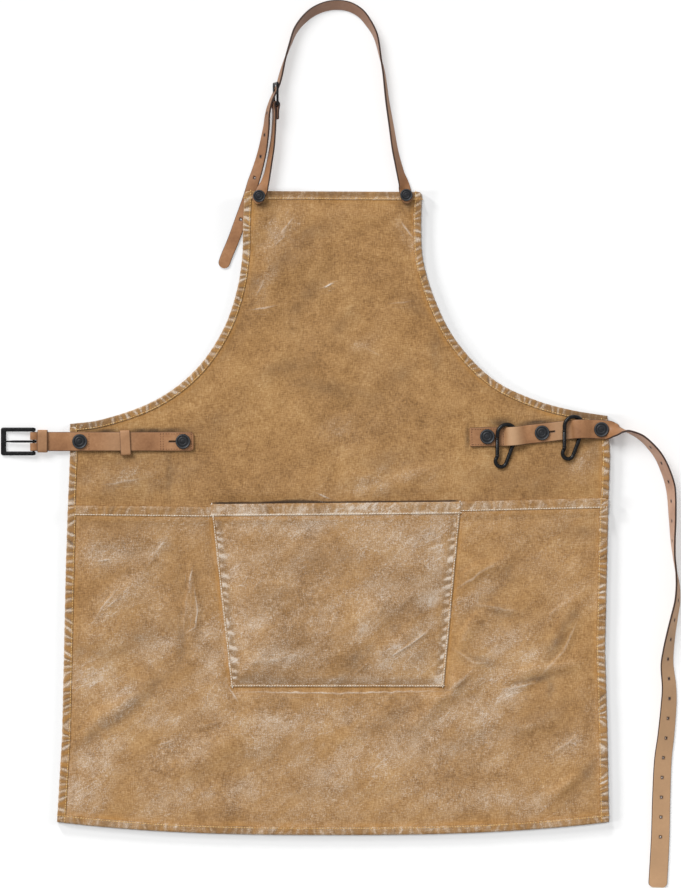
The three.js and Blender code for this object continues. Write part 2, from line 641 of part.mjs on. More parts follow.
// A strap's route: a curve through its rows, with the direction across the strap at each row.
function strapPath(rows, { width, thick }) {
  const standing = ({ roll }) => {
    const turn = degToRad(roll);
    return (width / 2) * Math.abs(Math.sin(turn)) + (thick / 2) * Math.abs(Math.cos(turn)) + TABLE_ROOM;
  };
  const points = rows.map((row) => row.at ?? new THREE.Vector3(row.x, row.y, row.z ?? standing(row)));
  const curve = new THREE.CatmullRomCurve3(points, false, 'centripetal');
  curve.arcLengthDivisions = 4000;
  const last = rows.length - 1;
  const acrossRows = rows.map((row, i) => {
    if (row.across) return row.across;
    const along = curve.getTangent(i / last);
    const level = new THREE.Vector3(0, 0, 1).cross(along).normalize();
    return level.applyAxisAngle(along, degToRad(row.roll));
  });
  const length = curve.getLength();
  const frameAt = (s) => {
    const t = curve.getUtoTmapping(THREE.MathUtils.clamp(s / length, 0, 1));
    const along = curve.getTangent(t);
    const i = Math.min(last - 1, Math.floor(t * last));
    const across = acrossRows[i].clone().lerp(acrossRows[i + 1], t * last - i);
    across.addScaledVector(along, -across.dot(along)).normalize();
    return { at: curve.getPoint(t), along, across, up: along.clone().cross(across) };
  };
  const nearest = ({ x, y }) => {
    let best = { s: 0, far: Infinity };
    for (let s = 0; s < length; s += LEAST_STEP / 2) {
      const { at } = frameAt(s);
      const far = Math.hypot(at.x - x, at.y - y);
      if (far < best.far) best = { s, far };
    }
    return best.s;
  };
  const toRow = (i) => curve.getLengths()[Math.round((i / last) * curve.arcLengthDivisions)];
  return { length, frameAt, nearest, toRow, width, thick };
}

// Places along a strap where it bends or twists by a set angle, or after the longest step.
function stations(path) {
  const places = [0];
  let turned = 0;
  let before = path.frameAt(0);
  for (let s = ROUTE_STEP; s < path.length; s += ROUTE_STEP) {
    const now = path.frameAt(s);
    turned += now.along.angleTo(before.along) + now.across.angleTo(before.across);
    before = now;
    if (turned < degToRad(BEND_STEP) && s - places[places.length - 1] < LONGEST_STEP) continue;
    places.push(s);
    turned = 0;
  }
  return [...places, path.length];
}

// A strap cut from one strip of leather along its path, with its two end shapes, its punched holes and
// a keyhole for each of its buttons.
function strapSolid(name, { startRound, endRound, holes = [], slot }) {
  const path = PATHS[name];
  const buttons = BUTTONS.filter(({ strap }) => strap === name);
  const shanks = buttons.map((button) => ({ ...button, s: path.nearest(button) }));
  const capEdges = shanks.flatMap(({ s, cap }) => [s - cap, s + cap]);
  const half = path.width / 2;
  const roundOff = (fromEnd, radius) => {
    if (fromEnd >= radius) return 0;
    return radius - Math.sqrt(radius * radius - (radius - fromEnd) ** 2);
  };
  const halfAt = (s) => half - roundOff(s, startRound) - roundOff(path.length - s, endRound);
  const arc = [0, 0.15, 0.5];
  const ends = [...arc.map((k) => k * startRound), ...arc.map((k) => path.length - k * endRound)];
  const inBetween = (s) => s >= startRound && s <= path.length - endRound;
  const middle = [...stations(path), ...capEdges].filter(inBetween);
  const places = [...new Set([...ends, ...middle])].sort((a, b) => a - b);
  const apart = places.filter((s, i) => i === 0 || s - places[i - 1] > LEAST_STEP);
  const lower = apart.map((s) => new THREE.Vector2(s, -halfAt(s)));
  const upper = apart.map((s) => new THREE.Vector2(s, halfAt(s))).reverse();
  const outline = [...lower, ...upper].filter((p, i, all) => p.distanceTo(all.at(i - 1)) > 0.05);
  const place = (p, side) => {
    const { at, across, up } = path.frameAt(p.x);
    return at.addScaledVector(across, p.y).addScaledVector(up, (side * path.thick) / 2);
  };
  const cuts = [...holes, ...shanks.map(({ s, slit }) => keyhole(s, slit))];
  if (slot) cuts.push(slotHole(slot, apart));
  const clearOfCuts = (p) => isInside(p, outline) && !cuts.some((cut) => isInside(p, cut));
  const inner = capEdges.map((s) => new THREE.Vector2(s, 0)).filter(clearOfCuts);
  return wallOver(outline, cuts, inner, (p) => place(p, 1), (p) => place(p, -1));
}

// A slot for a buckle's tongue, with a point on each long side at every place where the strap bends.
function slotHole({ from, to, width }, places) {
  const along = [from, ...places.filter((s) => s > from + LEAST_STEP && s < to - LEAST_STEP), to];
  const near = along.map((s) => new THREE.Vector2(s, -width / 2));
  const far = along.map((s) => new THREE.Vector2(s, width / 2));
  return [...near, ...far.reverse()];
}

// A round hole for a button's shank with the slit beside it that lets the cap through.
function keyhole(s, slit) {
  const round = circleAt(s, 0, SHANK_HOLE_RADIUS, 8);
  const side = Math.sign(slit);
  const half = SLIT_WIDTH / 2;
  const mouth = round.filter((p) => (p.x - s) * side < SHANK_HOLE_RADIUS * 0.9);
  const ordered = mouth.sort((a, b) => angleFrom(a, s, side) - angleFrom(b, s, side));
  const tip = s + slit;
  return [...ordered, new THREE.Vector2(tip, -half * side), new THREE.Vector2(tip, half * side)];
}

function angleFrom(p, s, side) {
  const angle = Math.atan2(p.y * side, (p.x - s) * side);
  return angle < 0 ? angle + 2 * Math.PI : angle;
}

// Turns a strap's route round a buckle's bar: places at a set distance from the bar, through half a turn.
function barTurn(placeAt, radius, across) {
  return [90, 50, 0, -50, -90].map((angle) => {
    const turn = degToRad(angle);
    return { at: placeAt(radius * Math.cos(turn), radius * Math.sin(turn)), across };
  });
}

// Places near the neck buckle: u runs from its bar towards the loop, n out of its front.
const neckLean = degToRad(NECK_BAR.lean);
const neckBar = new THREE.Vector3(NECK_BAR.x, NECK_BAR.y, NECK_BAR.z);
const neckFront = new THREE.Vector3(-Math.cos(neckLean), 0, Math.sin(neckLean));
const neckSide = new THREE.Vector3(Math.sin(neckLean), 0, Math.cos(neckLean));
const atNeckBuckle = (u, n) => neckBar.clone().add(new THREE.Vector3(0, u, 0)).addScaledVector(neckFront, n);
const barWrap = ({ thick }) => BAR_RADIUS + GAP + thick / 2;

const NECK_THREAD = [
  { u: 38, n: -7 },
  { u: 25.2, n: -3.4 },
  { u: 14.9, n: 1.2 },
  { u: 3, n: 6.4 },
];
const NECK_FOLD = { pinch: 15, side: 1.6, spread: 1.9, tail: 19 };
const neckThread = NECK_THREAD.map(({ u, n }) => ({ at: atNeckBuckle(u, n), across: neckSide }));
const neckBack = neckSide.clone().negate();
const neckFold = [
  { at: atNeckBuckle(-NECK_FOLD.pinch, NECK_FOLD.side), across: neckBack },
  { at: atNeckBuckle(-NECK_FOLD.pinch / 2, NECK_FOLD.spread), across: neckBack },
  ...barTurn(atNeckBuckle, barWrap(NECK_STRAP), neckBack),
  { at: atNeckBuckle(-NECK_FOLD.pinch / 2, -NECK_FOLD.spread), across: neckBack },
  { at: atNeckBuckle(-NECK_FOLD.tail, -NECK_FOLD.side), across: neckBack },
];
const waistAcross = new THREE.Vector3(0, -1, 0);
const atWaistBuckle = (u, n) => new THREE.Vector3(WAIST_BAR.x - u, WAIST_BAR.y, WAIST_BAR.z + n);
const waistRow = ({ x, z }) => ({ at: new THREE.Vector3(x, WAIST_BAR.y, z), across: waistAcross });
const waistLeftRows = [
  ...WAIST_LEFT_TOP.map(waistRow),
  ...barTurn(atWaistBuckle, barWrap(WAIST_STRAP), waistAcross),
  ...WAIST_LEFT_UNDER.map(waistRow),
];
const PATHS = {
  neckLong: strapPath([...NECK_LONG_START, ...neckThread, ...NECK_LONG_TAIL], NECK_STRAP),
  neckShort: strapPath([...NECK_SHORT_START, ...neckFold], NECK_STRAP),
  waistLeft: strapPath(waistLeftRows, WAIST_STRAP),
  waistRight: strapPath(WAIST_RIGHT, WAIST_STRAP),
};
const punched = (last, pitch, count) => {
  return Array.from({ length: count }, (_, k) => circleAt(last - k * pitch, 0, HOLE_RADIUS, 6));
};

const slotRound = (s, length, { tongue }) => {
  return { from: s - length / 2, to: s + length / 2, width: tongue + TONGUE_ROOM };
};

function neckLong() {
  const path = PATHS.neckLong;
  const middle = path.toRow(NECK_LONG_START.length + 2);
  const last = path.length - NECK_HOLES.fromTip;
  const pitch = (last - middle) / (NECK_HOLES.count - 1);
  const holes = punched(last, pitch, NECK_HOLES.count - 1);
  const slot = slotRound(middle, NECK_SLOT, NECK_BUCKLE);
  return strapSolid('neckLong', { startRound: path.width / 2, endRound: path.width / 2, holes, slot });
}

function neckShort() {
  const path = PATHS.neckShort;
  const slot = slotRound(path.toRow(NECK_SHORT_START.length + 4), FOLD_SLOT, NECK_BUCKLE);
  return strapSolid('neckShort', { startRound: path.width / 2, endRound: 2, slot });
}

function waistRight() {
  const { count, pitch, fromTip } = WAIST_HOLES;
  const holes = punched(PATHS.waistRight.length - fromTip, pitch, count);
  return strapSolid('waistRight', { startRound: 1, endRound: 6, holes });
}

function waistLeft() {
  const slot = slotRound(PATHS.waistLeft.toRow(WAIST_LEFT_TOP.length + 2), FOLD_SLOT, WAIST_BUCKLE);
  return strapSolid('waistLeft', { startRound: 4, endRound: 2, slot });
}

// Joins two closed geometries into one body.
function joined(first, second) {
  const solids = [first, second].map((geometry) => {
    const bare = geometry.clone();
    bare.deleteAttribute('normal');
    bare.deleteAttribute('uv');
    const whole = mergeVertices(bare, 1e-4);
    const mesh = { numProp: 3, vertProperties: whole.attributes.position.array, triVerts: whole.index.array };
    return new wasm.Manifold(new wasm.Mesh(mesh));
  });
  const result = solids[0].add(solids[1]).getMesh();
  const geometry = new THREE.BufferGeometry();
  geometry.setAttribute('position', new THREE.BufferAttribute(new Float32Array(result.vertProperties), 3));
  geometry.setIndex(new THREE.BufferAttribute(new Uint32Array(result.triVerts), 1));
  geometry.computeVertexNormals();
  return geometry;
}

// A buckle's frame with its bar along Y at the origin, reaching out towards -X.
function buckleFrame({ reach, heel, width, side, front, thick, corner }) {
  const half = width / 2;
  const window = half - side;
  const cut = corner / 2;
  const outline = [
    [heel - cut, half], [-reach + cut, half], [-reach, half - cut],
    [-reach, -half + cut], [-reach + cut, -half], [heel - cut, -half], [heel, -half + cut],
    [heel, -window], [front - reach, -window], [front - reach, window], [heel, window], [heel, half - cut],
  ].map(([x, y]) => new THREE.Vector2(x, y));
  const rails = new THREE.ExtrudeGeometry(new THREE.Shape(outline), { depth: thick, bevelEnabled: false });
  rails.translate(0, 0, -thick / 2);
  const bar = new THREE.CylinderGeometry(BAR_RADIUS, BAR_RADIUS, width - side, 10);
  return joined(rails, bar);
}

// A buckle's tongue: an eye round the bar and a pin that ends on the frame's front rail.
function buckleTongue({ thick, tongue, tip }) {
  const eye = BAR_RADIUS + GAP + 1.8;
  const rest = thick / 2 + GAP;
  const root = degToRad(150);
  const pin = thick * 0.72;
  const shape = new THREE.Shape();
  shape.absarc(0, 0, eye, -root, root, false);
  shape.lineTo(4 - tip, rest + pin);
  shape.lineTo(-tip, rest + pin * 0.6);
  shape.lineTo(-tip, rest);
  shape.lineTo(5 - tip, rest);
  const bore = new THREE.Path();
  bore.absarc(0, 0, BAR_RADIUS + GAP, 0, 2 * Math.PI, true);
  shape.holes.push(bore);
  const geometry = new THREE.ExtrudeGeometry(shape, { depth: tongue, bevelEnabled: false, curveSegments: 8 });
  geometry.translate(0, 0, -tongue / 2);
  geometry.rotateX(Math.PI / 2);
  return geometry;
}

// The highest place of the strap under a button's cap.
function strapTopAt(button) {
  const path = PATHS[button.strap];
  const middle = path.nearest(button);
  const reach = Array.from({ length: 9 }, (_, k) => middle + button.cap * (k / 4 - 1));
  return Math.max(...reach.map((s) => path.frameAt(s).at.z)) + path.thick / 2;
}

// A tack button: the back under the cloth, the shank through cloth and leather, and the cap on top.
function tackButton(button, base) {
  const { cap } = button;
  const under = strapTopAt(button) + GAP - base;
  const top = under + CAP_HEIGHT;
  const profile = [
    [0, 0], [TACK_RADIUS, 0], [TACK_RADIUS, TACK_THICK], [SHANK_RADIUS, TACK_THICK], [SHANK_RADIUS, under],
    [cap, under], [cap, top - CAP_BEVEL], [cap - CAP_BEVEL, top], [0, top],
  ].map(([r, z]) => new THREE.Vector2(r, z));
  const geometry = new THREE.LatheGeometry(profile, 12);
  geometry.rotateX(Math.PI / 2);
  return geometry;
}

// A leather keeper: a flat loop round the strap, open along X.
function keeperLoop({ width, across, low, high }) {
  const ring = (inset, corner) => {
    const [half, bottom, top] = [across / 2 - inset, low + inset, high - inset];
    return [
      [-half + corner, bottom], [half - corner, bottom], [half, bottom + corner], [half, top - corner],
      [half - corner, top], [-half + corner, top], [-half, top - corner], [-half, bottom + corner],
    ].map(([y, z]) => new THREE.Vector2(y, z));
  };
  const shape = new THREE.Shape(ring(0, 1.6));
  shape.holes.push(new THREE.Path(ring(KEEPER_WALL, 0.5)));
  const geometry = new THREE.ExtrudeGeometry(shape, { depth: width, bevelEnabled: false });
  geometry.rotateX(Math.PI / 2);
  geometry.rotateZ(Math.PI / 2);
  geometry.translate(-width / 2, 0, 0);
  return geometry;
}

// A snap hook's wire from its hinge round the small eye, up the back, over the big bow to the nose.
function hookBody({ wire, smallRadius, bigRadius, bigX, bigY, noseY }) {
  const slope = Math.atan2(bigX + bigRadius - smallRadius, bigY);
  const onArc = (x, y, radius, angle) => {
    return new THREE.Vector3(x + radius * Math.cos(angle), y + radius * Math.sin(angle), 0);
  };
  const small = [150, 185, 220, 255, 290, 325].map((angle) => onArc(0, 0, smallRadius, degToRad(angle)));
  const start = onArc(0, 0, smallRadius, -slope);
  const end = onArc(bigX, bigY, bigRadius, -slope);
  const back = [start, start.clone().lerp(end, 0.5), end];
  const big = [10, 45, 80, 115, 150, 180].map((angle) => onArc(bigX, bigY, bigRadius, degToRad(angle)));
  const nose = new THREE.Vector3(bigX - bigRadius, noseY + GAP + 0.2, 0);
  const route = new THREE.CatmullRomCurve3([...small, ...back, ...big, nose], false, 'centripetal');
  const section = new THREE.Shape(circleAt(0, 0, wire, 8));
  return new THREE.ExtrudeGeometry(section, { steps: 30, bevelEnabled: false, extrudePath: route });
}

// The gate stands on a rounded foot at its hinge.
function hookGate({ wire, hingeY, noseY }) {
  const length = noseY - hingeY;
  const slant = wire * Math.SQRT1_2;
  const profile = [[0, -wire], [slant, -slant], [wire, 0], [wire, length], [0, length]];
  return new THREE.LatheGeometry(profile.map(([r, y]) => new THREE.Vector2(r, y)), 8);
}

addPiece('bib_panel', bibPanel(), CANVAS_LOOK);
addPiece('skirt_panel', skirtPanel(), CANVAS_LOOK);
addPiece('front_pocket', frontPocket(), CANVAS_LOOK);
addPiece('neck_strap_long', neckLong(), LEATHER_LOOK);
addPiece('neck_strap_short', neckShort(), LEATHER_LOOK);
addPiece('waist_strap_left', waistLeft(), LEATHER_LOOK);
addPiece('waist_strap_right', waistRight(), LEATHER_LOOK);

for (const keeper of KEEPERS) {
  const piece = addPiece(keeper.name, keeperLoop(keeper), LEATHER_LOOK);
  piece.position.set(keeper.x, keeper.y, 0);
  piece.rotation.z = degToRad(keeper.turn);
}

for (const button of BUTTONS) {
  const base = Math.max(0, bibLift(flat(button)) - TACK_LIFT);
  const piece = addPiece(button.name, tackButton(button, base), BUTTON_LOOK);
  piece.position.set(button.x, button.y, base);
}

const waistBuckle = new THREE.Group();
waistBuckle.position.set(WAIST_BAR.x, WAIST_BAR.y, WAIST_BAR.z);
waistBuckle.rotation.y = degToRad(-WAIST_BAR.drop);
addPiece('waist_buckle_frame', buckleFrame(WAIST_BUCKLE), BLACK_METAL_LOOK, waistBuckle);
addPiece('waist_buckle_tongue', buckleTongue(WAIST_BUCKLE), BLACK_METAL_LOOK, waistBuckle);
apron.add(waistBuckle);

const neckBuckle = new THREE.Group();
const towardsStrap = new THREE.Vector3(0, -1, 0);
const neckBasis = new THREE.Matrix4().makeBasis(towardsStrap, neckSide, neckFront);
neckBuckle.applyMatrix4(neckBasis.setPosition(neckBar));
addPiece('neck_buckle_frame', buckleFrame(NECK_BUCKLE), BLACK_METAL_LOOK, neckBuckle);
addPiece('neck_buckle_tongue', buckleTongue(NECK_BUCKLE), BLACK_METAL_LOOK, neckBuckle);
apron.add(neckBuckle);

for (const { name, x, y, z } of HOOKS) {
  const hook = new THREE.Group();
  hook.position.set(x, y, z);
  hook.rotation.set(degToRad(HOOK_LEAN.along), degToRad(HOOK_LEAN.across), 0);
  addPiece(`${name}_body`, hookBody(HOOK), BLACK_METAL_LOOK, hook);
  const gate = addPiece(`${name}_gate`, hookGate(HOOK), BLACK_METAL_LOOK, hook);
  gate.position.set(HOOK.gateX, HOOK.hingeY, 0);
  apron.add(hook);
}

export default apron;
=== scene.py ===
"""A waxed-canvas grill apron lying flat, with buttoned leather straps, two buckles and two snap hooks.

Tables are in millimetres and meshes in metres. X runs across the apron, Y up towards the neck loop, and Z up
from the table that it lies on.
"""

import bmesh
import bpy
import numpy as np
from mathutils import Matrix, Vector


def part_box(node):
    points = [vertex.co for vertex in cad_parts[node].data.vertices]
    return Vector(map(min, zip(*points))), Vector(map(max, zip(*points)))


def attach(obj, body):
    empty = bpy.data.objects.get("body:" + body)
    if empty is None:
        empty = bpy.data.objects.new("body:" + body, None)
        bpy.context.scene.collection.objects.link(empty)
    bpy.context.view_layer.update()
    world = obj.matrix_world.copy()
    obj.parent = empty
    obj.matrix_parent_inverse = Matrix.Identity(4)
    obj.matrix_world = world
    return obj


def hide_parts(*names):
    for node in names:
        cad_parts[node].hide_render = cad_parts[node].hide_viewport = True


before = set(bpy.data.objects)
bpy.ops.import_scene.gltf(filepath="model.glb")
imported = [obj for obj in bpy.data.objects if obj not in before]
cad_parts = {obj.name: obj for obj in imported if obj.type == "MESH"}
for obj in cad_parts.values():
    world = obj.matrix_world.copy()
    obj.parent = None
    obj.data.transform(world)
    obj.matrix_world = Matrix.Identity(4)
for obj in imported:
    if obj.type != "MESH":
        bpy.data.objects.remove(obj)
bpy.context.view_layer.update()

MM = 0.001

# Cloth
GAP = 0.3
CANVAS = 1.2
HEM_RISE = 1.3
BIB_HEM = 9.8
SKIRT_HEM = 11.2
TOP_HEM = 10.8
POCKET_HEM = 15.8
LAP_WIDTH = 13
LAP_FOOT = 24
HEM_LINE = -480
HEM_BOW = 16.5
HEM_BOW_POWER = 2.6
FOLD_WANDER = 7
FOLD_SOFTNESS = 0.62
FOLD_NARROWING = 0.8
CREASE_WANDER = 1.1
POCKET_SLACK = 6.6
POCKET_SLACK_REACH = 60
POCKET_EDGE = 3.4
PULL_PITCH = 11.5
PANEL_INSET = 3.2
BAND_STEP = 1.1
CORNER_ROUND = 5
STITCH_PITCH = 3.3
STITCH_LENGTH = 2.8
STITCH_RADIUS = 0.55
STITCH_INSET = 1.7
STITCH_SINK = 0.1
ROW_STEP = 3
TACK_LIFT = 1
TACK_LIFT_REACH = 22
TAIL_LIFT = 4.5
TAIL_LIFT_FULL = 16
TAIL_LIFT_REACH = 42

# Leather
WAIST_WIDTH = 24.2
WAIST_THICK = 2.6
NECK_WIDTH = 15
NECK_THICK = 2.5
LEATHER_CELL = 1.0
EDGE_ROUND = 1.0
HOLE_RADIUS = 1.15
WAIST_HOLES = 21
WAIST_HOLE_PITCH = 25.2
WAIST_HOLE_FROM_TIP = 64
NECK_HOLES = 7
NECK_HOLE_FROM_TIP = 66
KEEPER_WALL = 1.6
TABLE_ROOM = 0.1
SLOT_REACH = 9.5
THREAD_SLOT_REACH = 6
SEWING_PITCH = 2.9
SEWING_LENGTH = 2.2
SEWING_RADIUS = 0.36
CROSS_INSET = 2.6
EDGE_INSET = 2.4
LEFT_SEWING_X = (-369.8, -319.2, -228.5, -225)

# Metal
BAR_RADIUS = 1.5
TACK_RADIUS = 4
SHANK_RADIUS = 2
CAP_HEIGHT = 3
WAIST_CAP = 9.5
NECK_CAP = 7.8
TONGUE_THICK = 1.9
TONGUE_PLAY = 1.1
WAIST_BUCKLE = dict(
    reach=42, heel=2.7, width=35.5, side=5.2, front=6.8, thick=3.4, corner=3, tongue=3, tip=37.5,
)
NECK_BUCKLE = dict(
    reach=28, heel=1.9, width=22, side=2.8, front=3.2, thick=2.6, corner=2, tongue=2.4, tip=27.4,
)
WIRE = 2.5
HOOK_SMALL = 7.15
HOOK_BIG = 12.2
HOOK_BIG_X = 7.5
HOOK_BIG_Y = 34.3
GATE_X = -4.95
GATE_FOOT = 6.35
GATE_NOSE = 29.8

# Places of the hard pieces
WAIST_BAR = np.array([-389.4, 3.2, 6.4])
WAIST_DROP = 6.4
NECK_BAR = np.array([-82.2, 430.5, 11])
NECK_LEAN = 15
HOOKS = {"1": (203.7, -21.8, 5.9), "2": (288.7, -11.8, 6.4)}
HOOK_LEAN_ALONG = 4
HOOK_LEAN_ACROSS = 11.6
BUTTONS = {
    "neck_left": (-103.1, 314.3, NECK_CAP),
    "neck_right": (83.6, 315.8, NECK_CAP),
    "waist_left_outer": (-330.8, 3.2, WAIST_CAP),
    "waist_left_inner": (-199.8, 3.2, WAIST_CAP),
    "waist_right_inner": (186.4, 9.3, WAIST_CAP),
    "waist_right_middle": (255.7, 14.1, WAIST_CAP),
    "waist_right_outer": (331, 18.4, WAIST_CAP),
}

# Outline of the cloth. Sides: height, left edge, right edge
SIDES = np.array([
    (-480, -360, 341), (-370, -353.5, 339), (-260, -351, 335.9), (-150, -348.6, 338.4),
    (-70, -345.8, 340.4), (-15, -343.5, 342.3), (36, -343.5, 339.1),
])
SEAM = np.array([(-346, -78), (-166, -80), (158, -73), (340, -68.6)])
RIGHT_ARMHOLE = np.array([
    (339.1, 35.6), (292.7, 43.2), (247, 55.9), (194.9, 81.3), (146.1, 132.1), (120, 182.9), (104.8, 233.7),
    (102.4, 275), (103.5, 320),
])
LEFT_ARMHOLE = np.array([
    (-343.5, 25.4), (-305.4, 30.5), (-234.3, 55.9), (-184.2, 94), (-149.2, 144.8), (-131.4, 195.6),
    (-124.6, 240), (-123.8, 275), (-121.9, 321.3),
])
TOP_EDGE = np.array([(-122, 321.3), (104, 320)])
POCKET_TOP_LEFT = np.array([-165, -76.2])
POCKET_TOP_RIGHT = np.array([153.4, -73.2])
POCKET_LOW_RIGHT = np.array([131.4, -308.6])
POCKET_LOW_LEFT = np.array([-139.1, -308.6])

# Folds: from x, y to x, y, height at the middle and half width before FOLD_SOFTNESS and FOLD_NARROWING
BIB_FOLDS = [
    (-108.6, 199, -7, 255, 4, 24), (-51.4, 122, 40, 60, 4, 22), (-110, 72, -53, 128, 3.5, 22),
    (-318.1, -46, -221.6, -38, 4, 20), (-13.3, -50, 65.4, -28, 3.5, 14), (66, -48, 140, -34, 3.5, 14),
    (15, 195, 76, 221, 3, 18),
]
SKIRT_FOLDS = [
    (-342, -377, -236, -295, 6, 15), (-192, -147, -187, -249, 5, 9), (156, -174, 214, -134, 5, 12),
    (148, -258, 199, -203, 5, 12), (64, -370, 185, -276, 7, 17), (203, -302, 312, -265, 6, 12),
    (262, -258, 307, -191, 5, 13), (205, -374, 290, -337, 5, 15), (-322, -220, -227, -141, 4, 20),
    (-242, -432, -115, -363, 4.5, 22), (258, -449, 310, -419, 5, 12),
]
POCKET_FOLDS = [
    (35, -284, 120, -203, 3.5, 17), (0, -240, 73, -185, 2.5, 16), (-122, -262, -52, -288, 2.5, 14),
]

# Creases: places along a line, half width, height, strength of the white wax on it
BIB_CREASES = [
    ([(-21.5, 198.6), (-9.5, 204.9)], 2.2, 0.6, 1.0), ([(-78, 261), (-68, 278), (-58, 289)], 2.2, 0.4, 0.6),
    ([(-84, 250), (-73, 262), (-66, 282)], 2.2, 0.4, 0.5), ([(-108, 188), (-97, 209)], 2.4, 0.5, 0.5),
    ([(-112, 170), (-84, 176)], 2.4, 0.5, 0.5), ([(-27.5, -64), (-14, -69)], 2.4, 0.6, 0.9),
    ([(78, 282), (92, 262)], 2.4, 0.5, 0.5), ([(62, 178), (92, 182)], 2.4, 0.5, 0.2),
    ([(-300, -52), (-255, -44)], 2.4, 0.5, 0.4), ([(30, 122), (52, 112)], 2.2, 0.4, 0.1),
]
SKIRT_CREASES = [
    ([(-316, -231), (-302, -207), (-283, -183)], 2.4, 0.8, 0.6),
    ([(-300, -212), (-276, -186)], 2.2, 0.6, 0.6),
    ([(-250, -160), (-236, -142), (-221, -117)], 2.4, 0.8, 0.35),
    ([(-188, -158), (-193, -187)], 2.2, 0.8, 0.9),
    ([(-193, -180), (-197, -214), (-200, -246)], 2.4, 0.9, 0.2),
    ([(-186, -179), (-182, -211), (-184, -232), (-195, -241)], 2.2, 1.0, 0.7),
    ([(202, -312.4), (223, -308.6), (247, -303)], 2.4, 1.2, 0.9),
    ([(134, -316), (152, -300), (172, -284)], 3, 1.1, 0.3),
    ([(146, -262), (170, -279), (191, -278)], 3, 1.0, 0.25),
    ([(-131, -314.5), (-3, -316.5), (124, -313.5)], 2.2, 0.8, 0.7),
    ([(-143, -308), (-131, -326)], 2.4, 0.7, 0.8),
    ([(-308, -149), (-292, -147)], 2.2, 0.6, 0.9), ([(168, -203), (226, -213)], 3, 0.9, 0.2),
    ([(262, -232), (268, -214), (292, -196)], 3, 0.9, 0.25),
    ([(252, -296), (284, -262), (300, -226)], 3, 0.9, 0.3),
    ([(148, -184), (196, -152)], 3, 0.8, 0.35), ([(-232, -382), (-214, -378)], 2.2, 0.6, 0.7),
    ([(-186, -360), (-150, -352)], 3, 0.8, 0.2), ([(268, -392), (306, -368)], 3, 0.8, 0.4),
]
POCKET_CREASES = [
    ([(112, -237), (86, -256), (66, -268)], 2.4, 1.0, 1.0), ([(-135, -206), (-118, -220)], 2.4, 0.8, 0.4),
    ([(-112, -186), (-98, -168)], 2.2, 0.6, 0.3), ([(-4, -208), (-20, -252)], 2.6, 0.6, 0.15),
    ([(28, -230), (16, -250)], 2.4, 0.6, 0.15), ([(58, -196), (42, -222)], 2.4, 0.6, 0.15),
    ([(96, -186), (70, -212)], 2.6, 0.7, 0.15), ([(44, -272), (62, -290)], 2.4, 0.8, 0.3),
    ([(-52, -268), (-132, -280)], 2.6, 0.7, 0.2), ([(10, -300), (36, -276)], 2.6, 0.9, 0.15),
]

# Share of white wax and painted sheen all over each panel
BIB_WAX_AND_SHEEN = 0.06
SKIRT_WAX_AND_SHEEN = 0.16
POCKET_WAX_AND_SHEEN = 0.22

# Patches of white wax and painted sheen: x, y, reach along, reach across, turn in degrees, strength
BLOOM_AND_SHEEN_PATCHES = [
    (-84, 268, 34, 22, 60, 0.28), (-96, 216, 50, 14, 70, 0.17), (86, 258, 30, 8, -60, 0.24),
    (-265, -42, 60, 18, 8, 0.15), (262, 62, 70, 8, -24, 0.24), (306, -26, 22, 16, 40, 0.22),
    (40, -52, 70, 14, 8, 0.20), (60, -30, 30, 10, 30, 0.15), (0, 20, 30, 16, 20, 0.13),
    (30, 128, 20, 10, 20, 0.16),
    (-300, -140, 44, 16, 0, 0.20), (-282, -196, 46, 16, 46, 0.24), (-232, -136, 30, 10, 52, 0.20),
    (-318, -300, 30, 20, 30, 0.40), (-286, -314, 24, 16, 20, 0.36), (-232, -260, 30, 20, 30, 0.28),
    (-166, -268, 22, 50, 6, 0.33), (-176, -330, 34, 24, 0, 0.28), (-306, -398, 40, 26, 40, 0.33),
    (-322, -440, 34, 26, 0, 0.33), (-196, -388, 46, 20, 10, 0.32), (-216, -350, 40, 14, 10, 0.26),
    (-60, -352, 120, 24, 4, 0.30), (40, -400, 150, 34, 8, 0.22), (214, -322, 20, 13, 30, 0.63),
    (182, -338, 30, 18, 10, 0.40), (196, -300, 30, 16, 20, 0.26), (206, -252, 26, 14, 30, 0.30),
    (172, -190, 34, 12, 38, 0.24), (150, -340, 60, 22, 20, 0.28), (-160, -440, 110, 20, 6, 0.25),
    (180, -452, 110, 16, -4, 0.22), (290, -382, 26, 12, 30, 0.24), (236, -268, 20, 10, 10, 0.26),
]
POCKET_PATCHES = [
    (-60, -104, 90, 14, 0, 0.30), (100, -118, 40, 14, 4, 0.30), (-130, -190, 12, 90, 6, 0.22),
    (62, -272, 44, 16, 40, 0.41), (124, -299, 10, 9, 0, 0.66), (116, -196, 18, 13, 30, 0.56),
    (96, -238, 40, 9, 34, 0.46), (-70, -272, 60, 14, 4, 0.34), (-20, -222, 34, 22, 60, 0.37),
    (122, -150, 14, 60, -5, 0.30), (30, -236, 26, 14, 50, 0.30), (-100, -226, 34, 10, 20, 0.28),
    (60, -182, 30, 14, 50, 0.24), (0, -200, 150, 120, 0, 0.11), (24, -298, 60, 8, 0, 0.33),
]
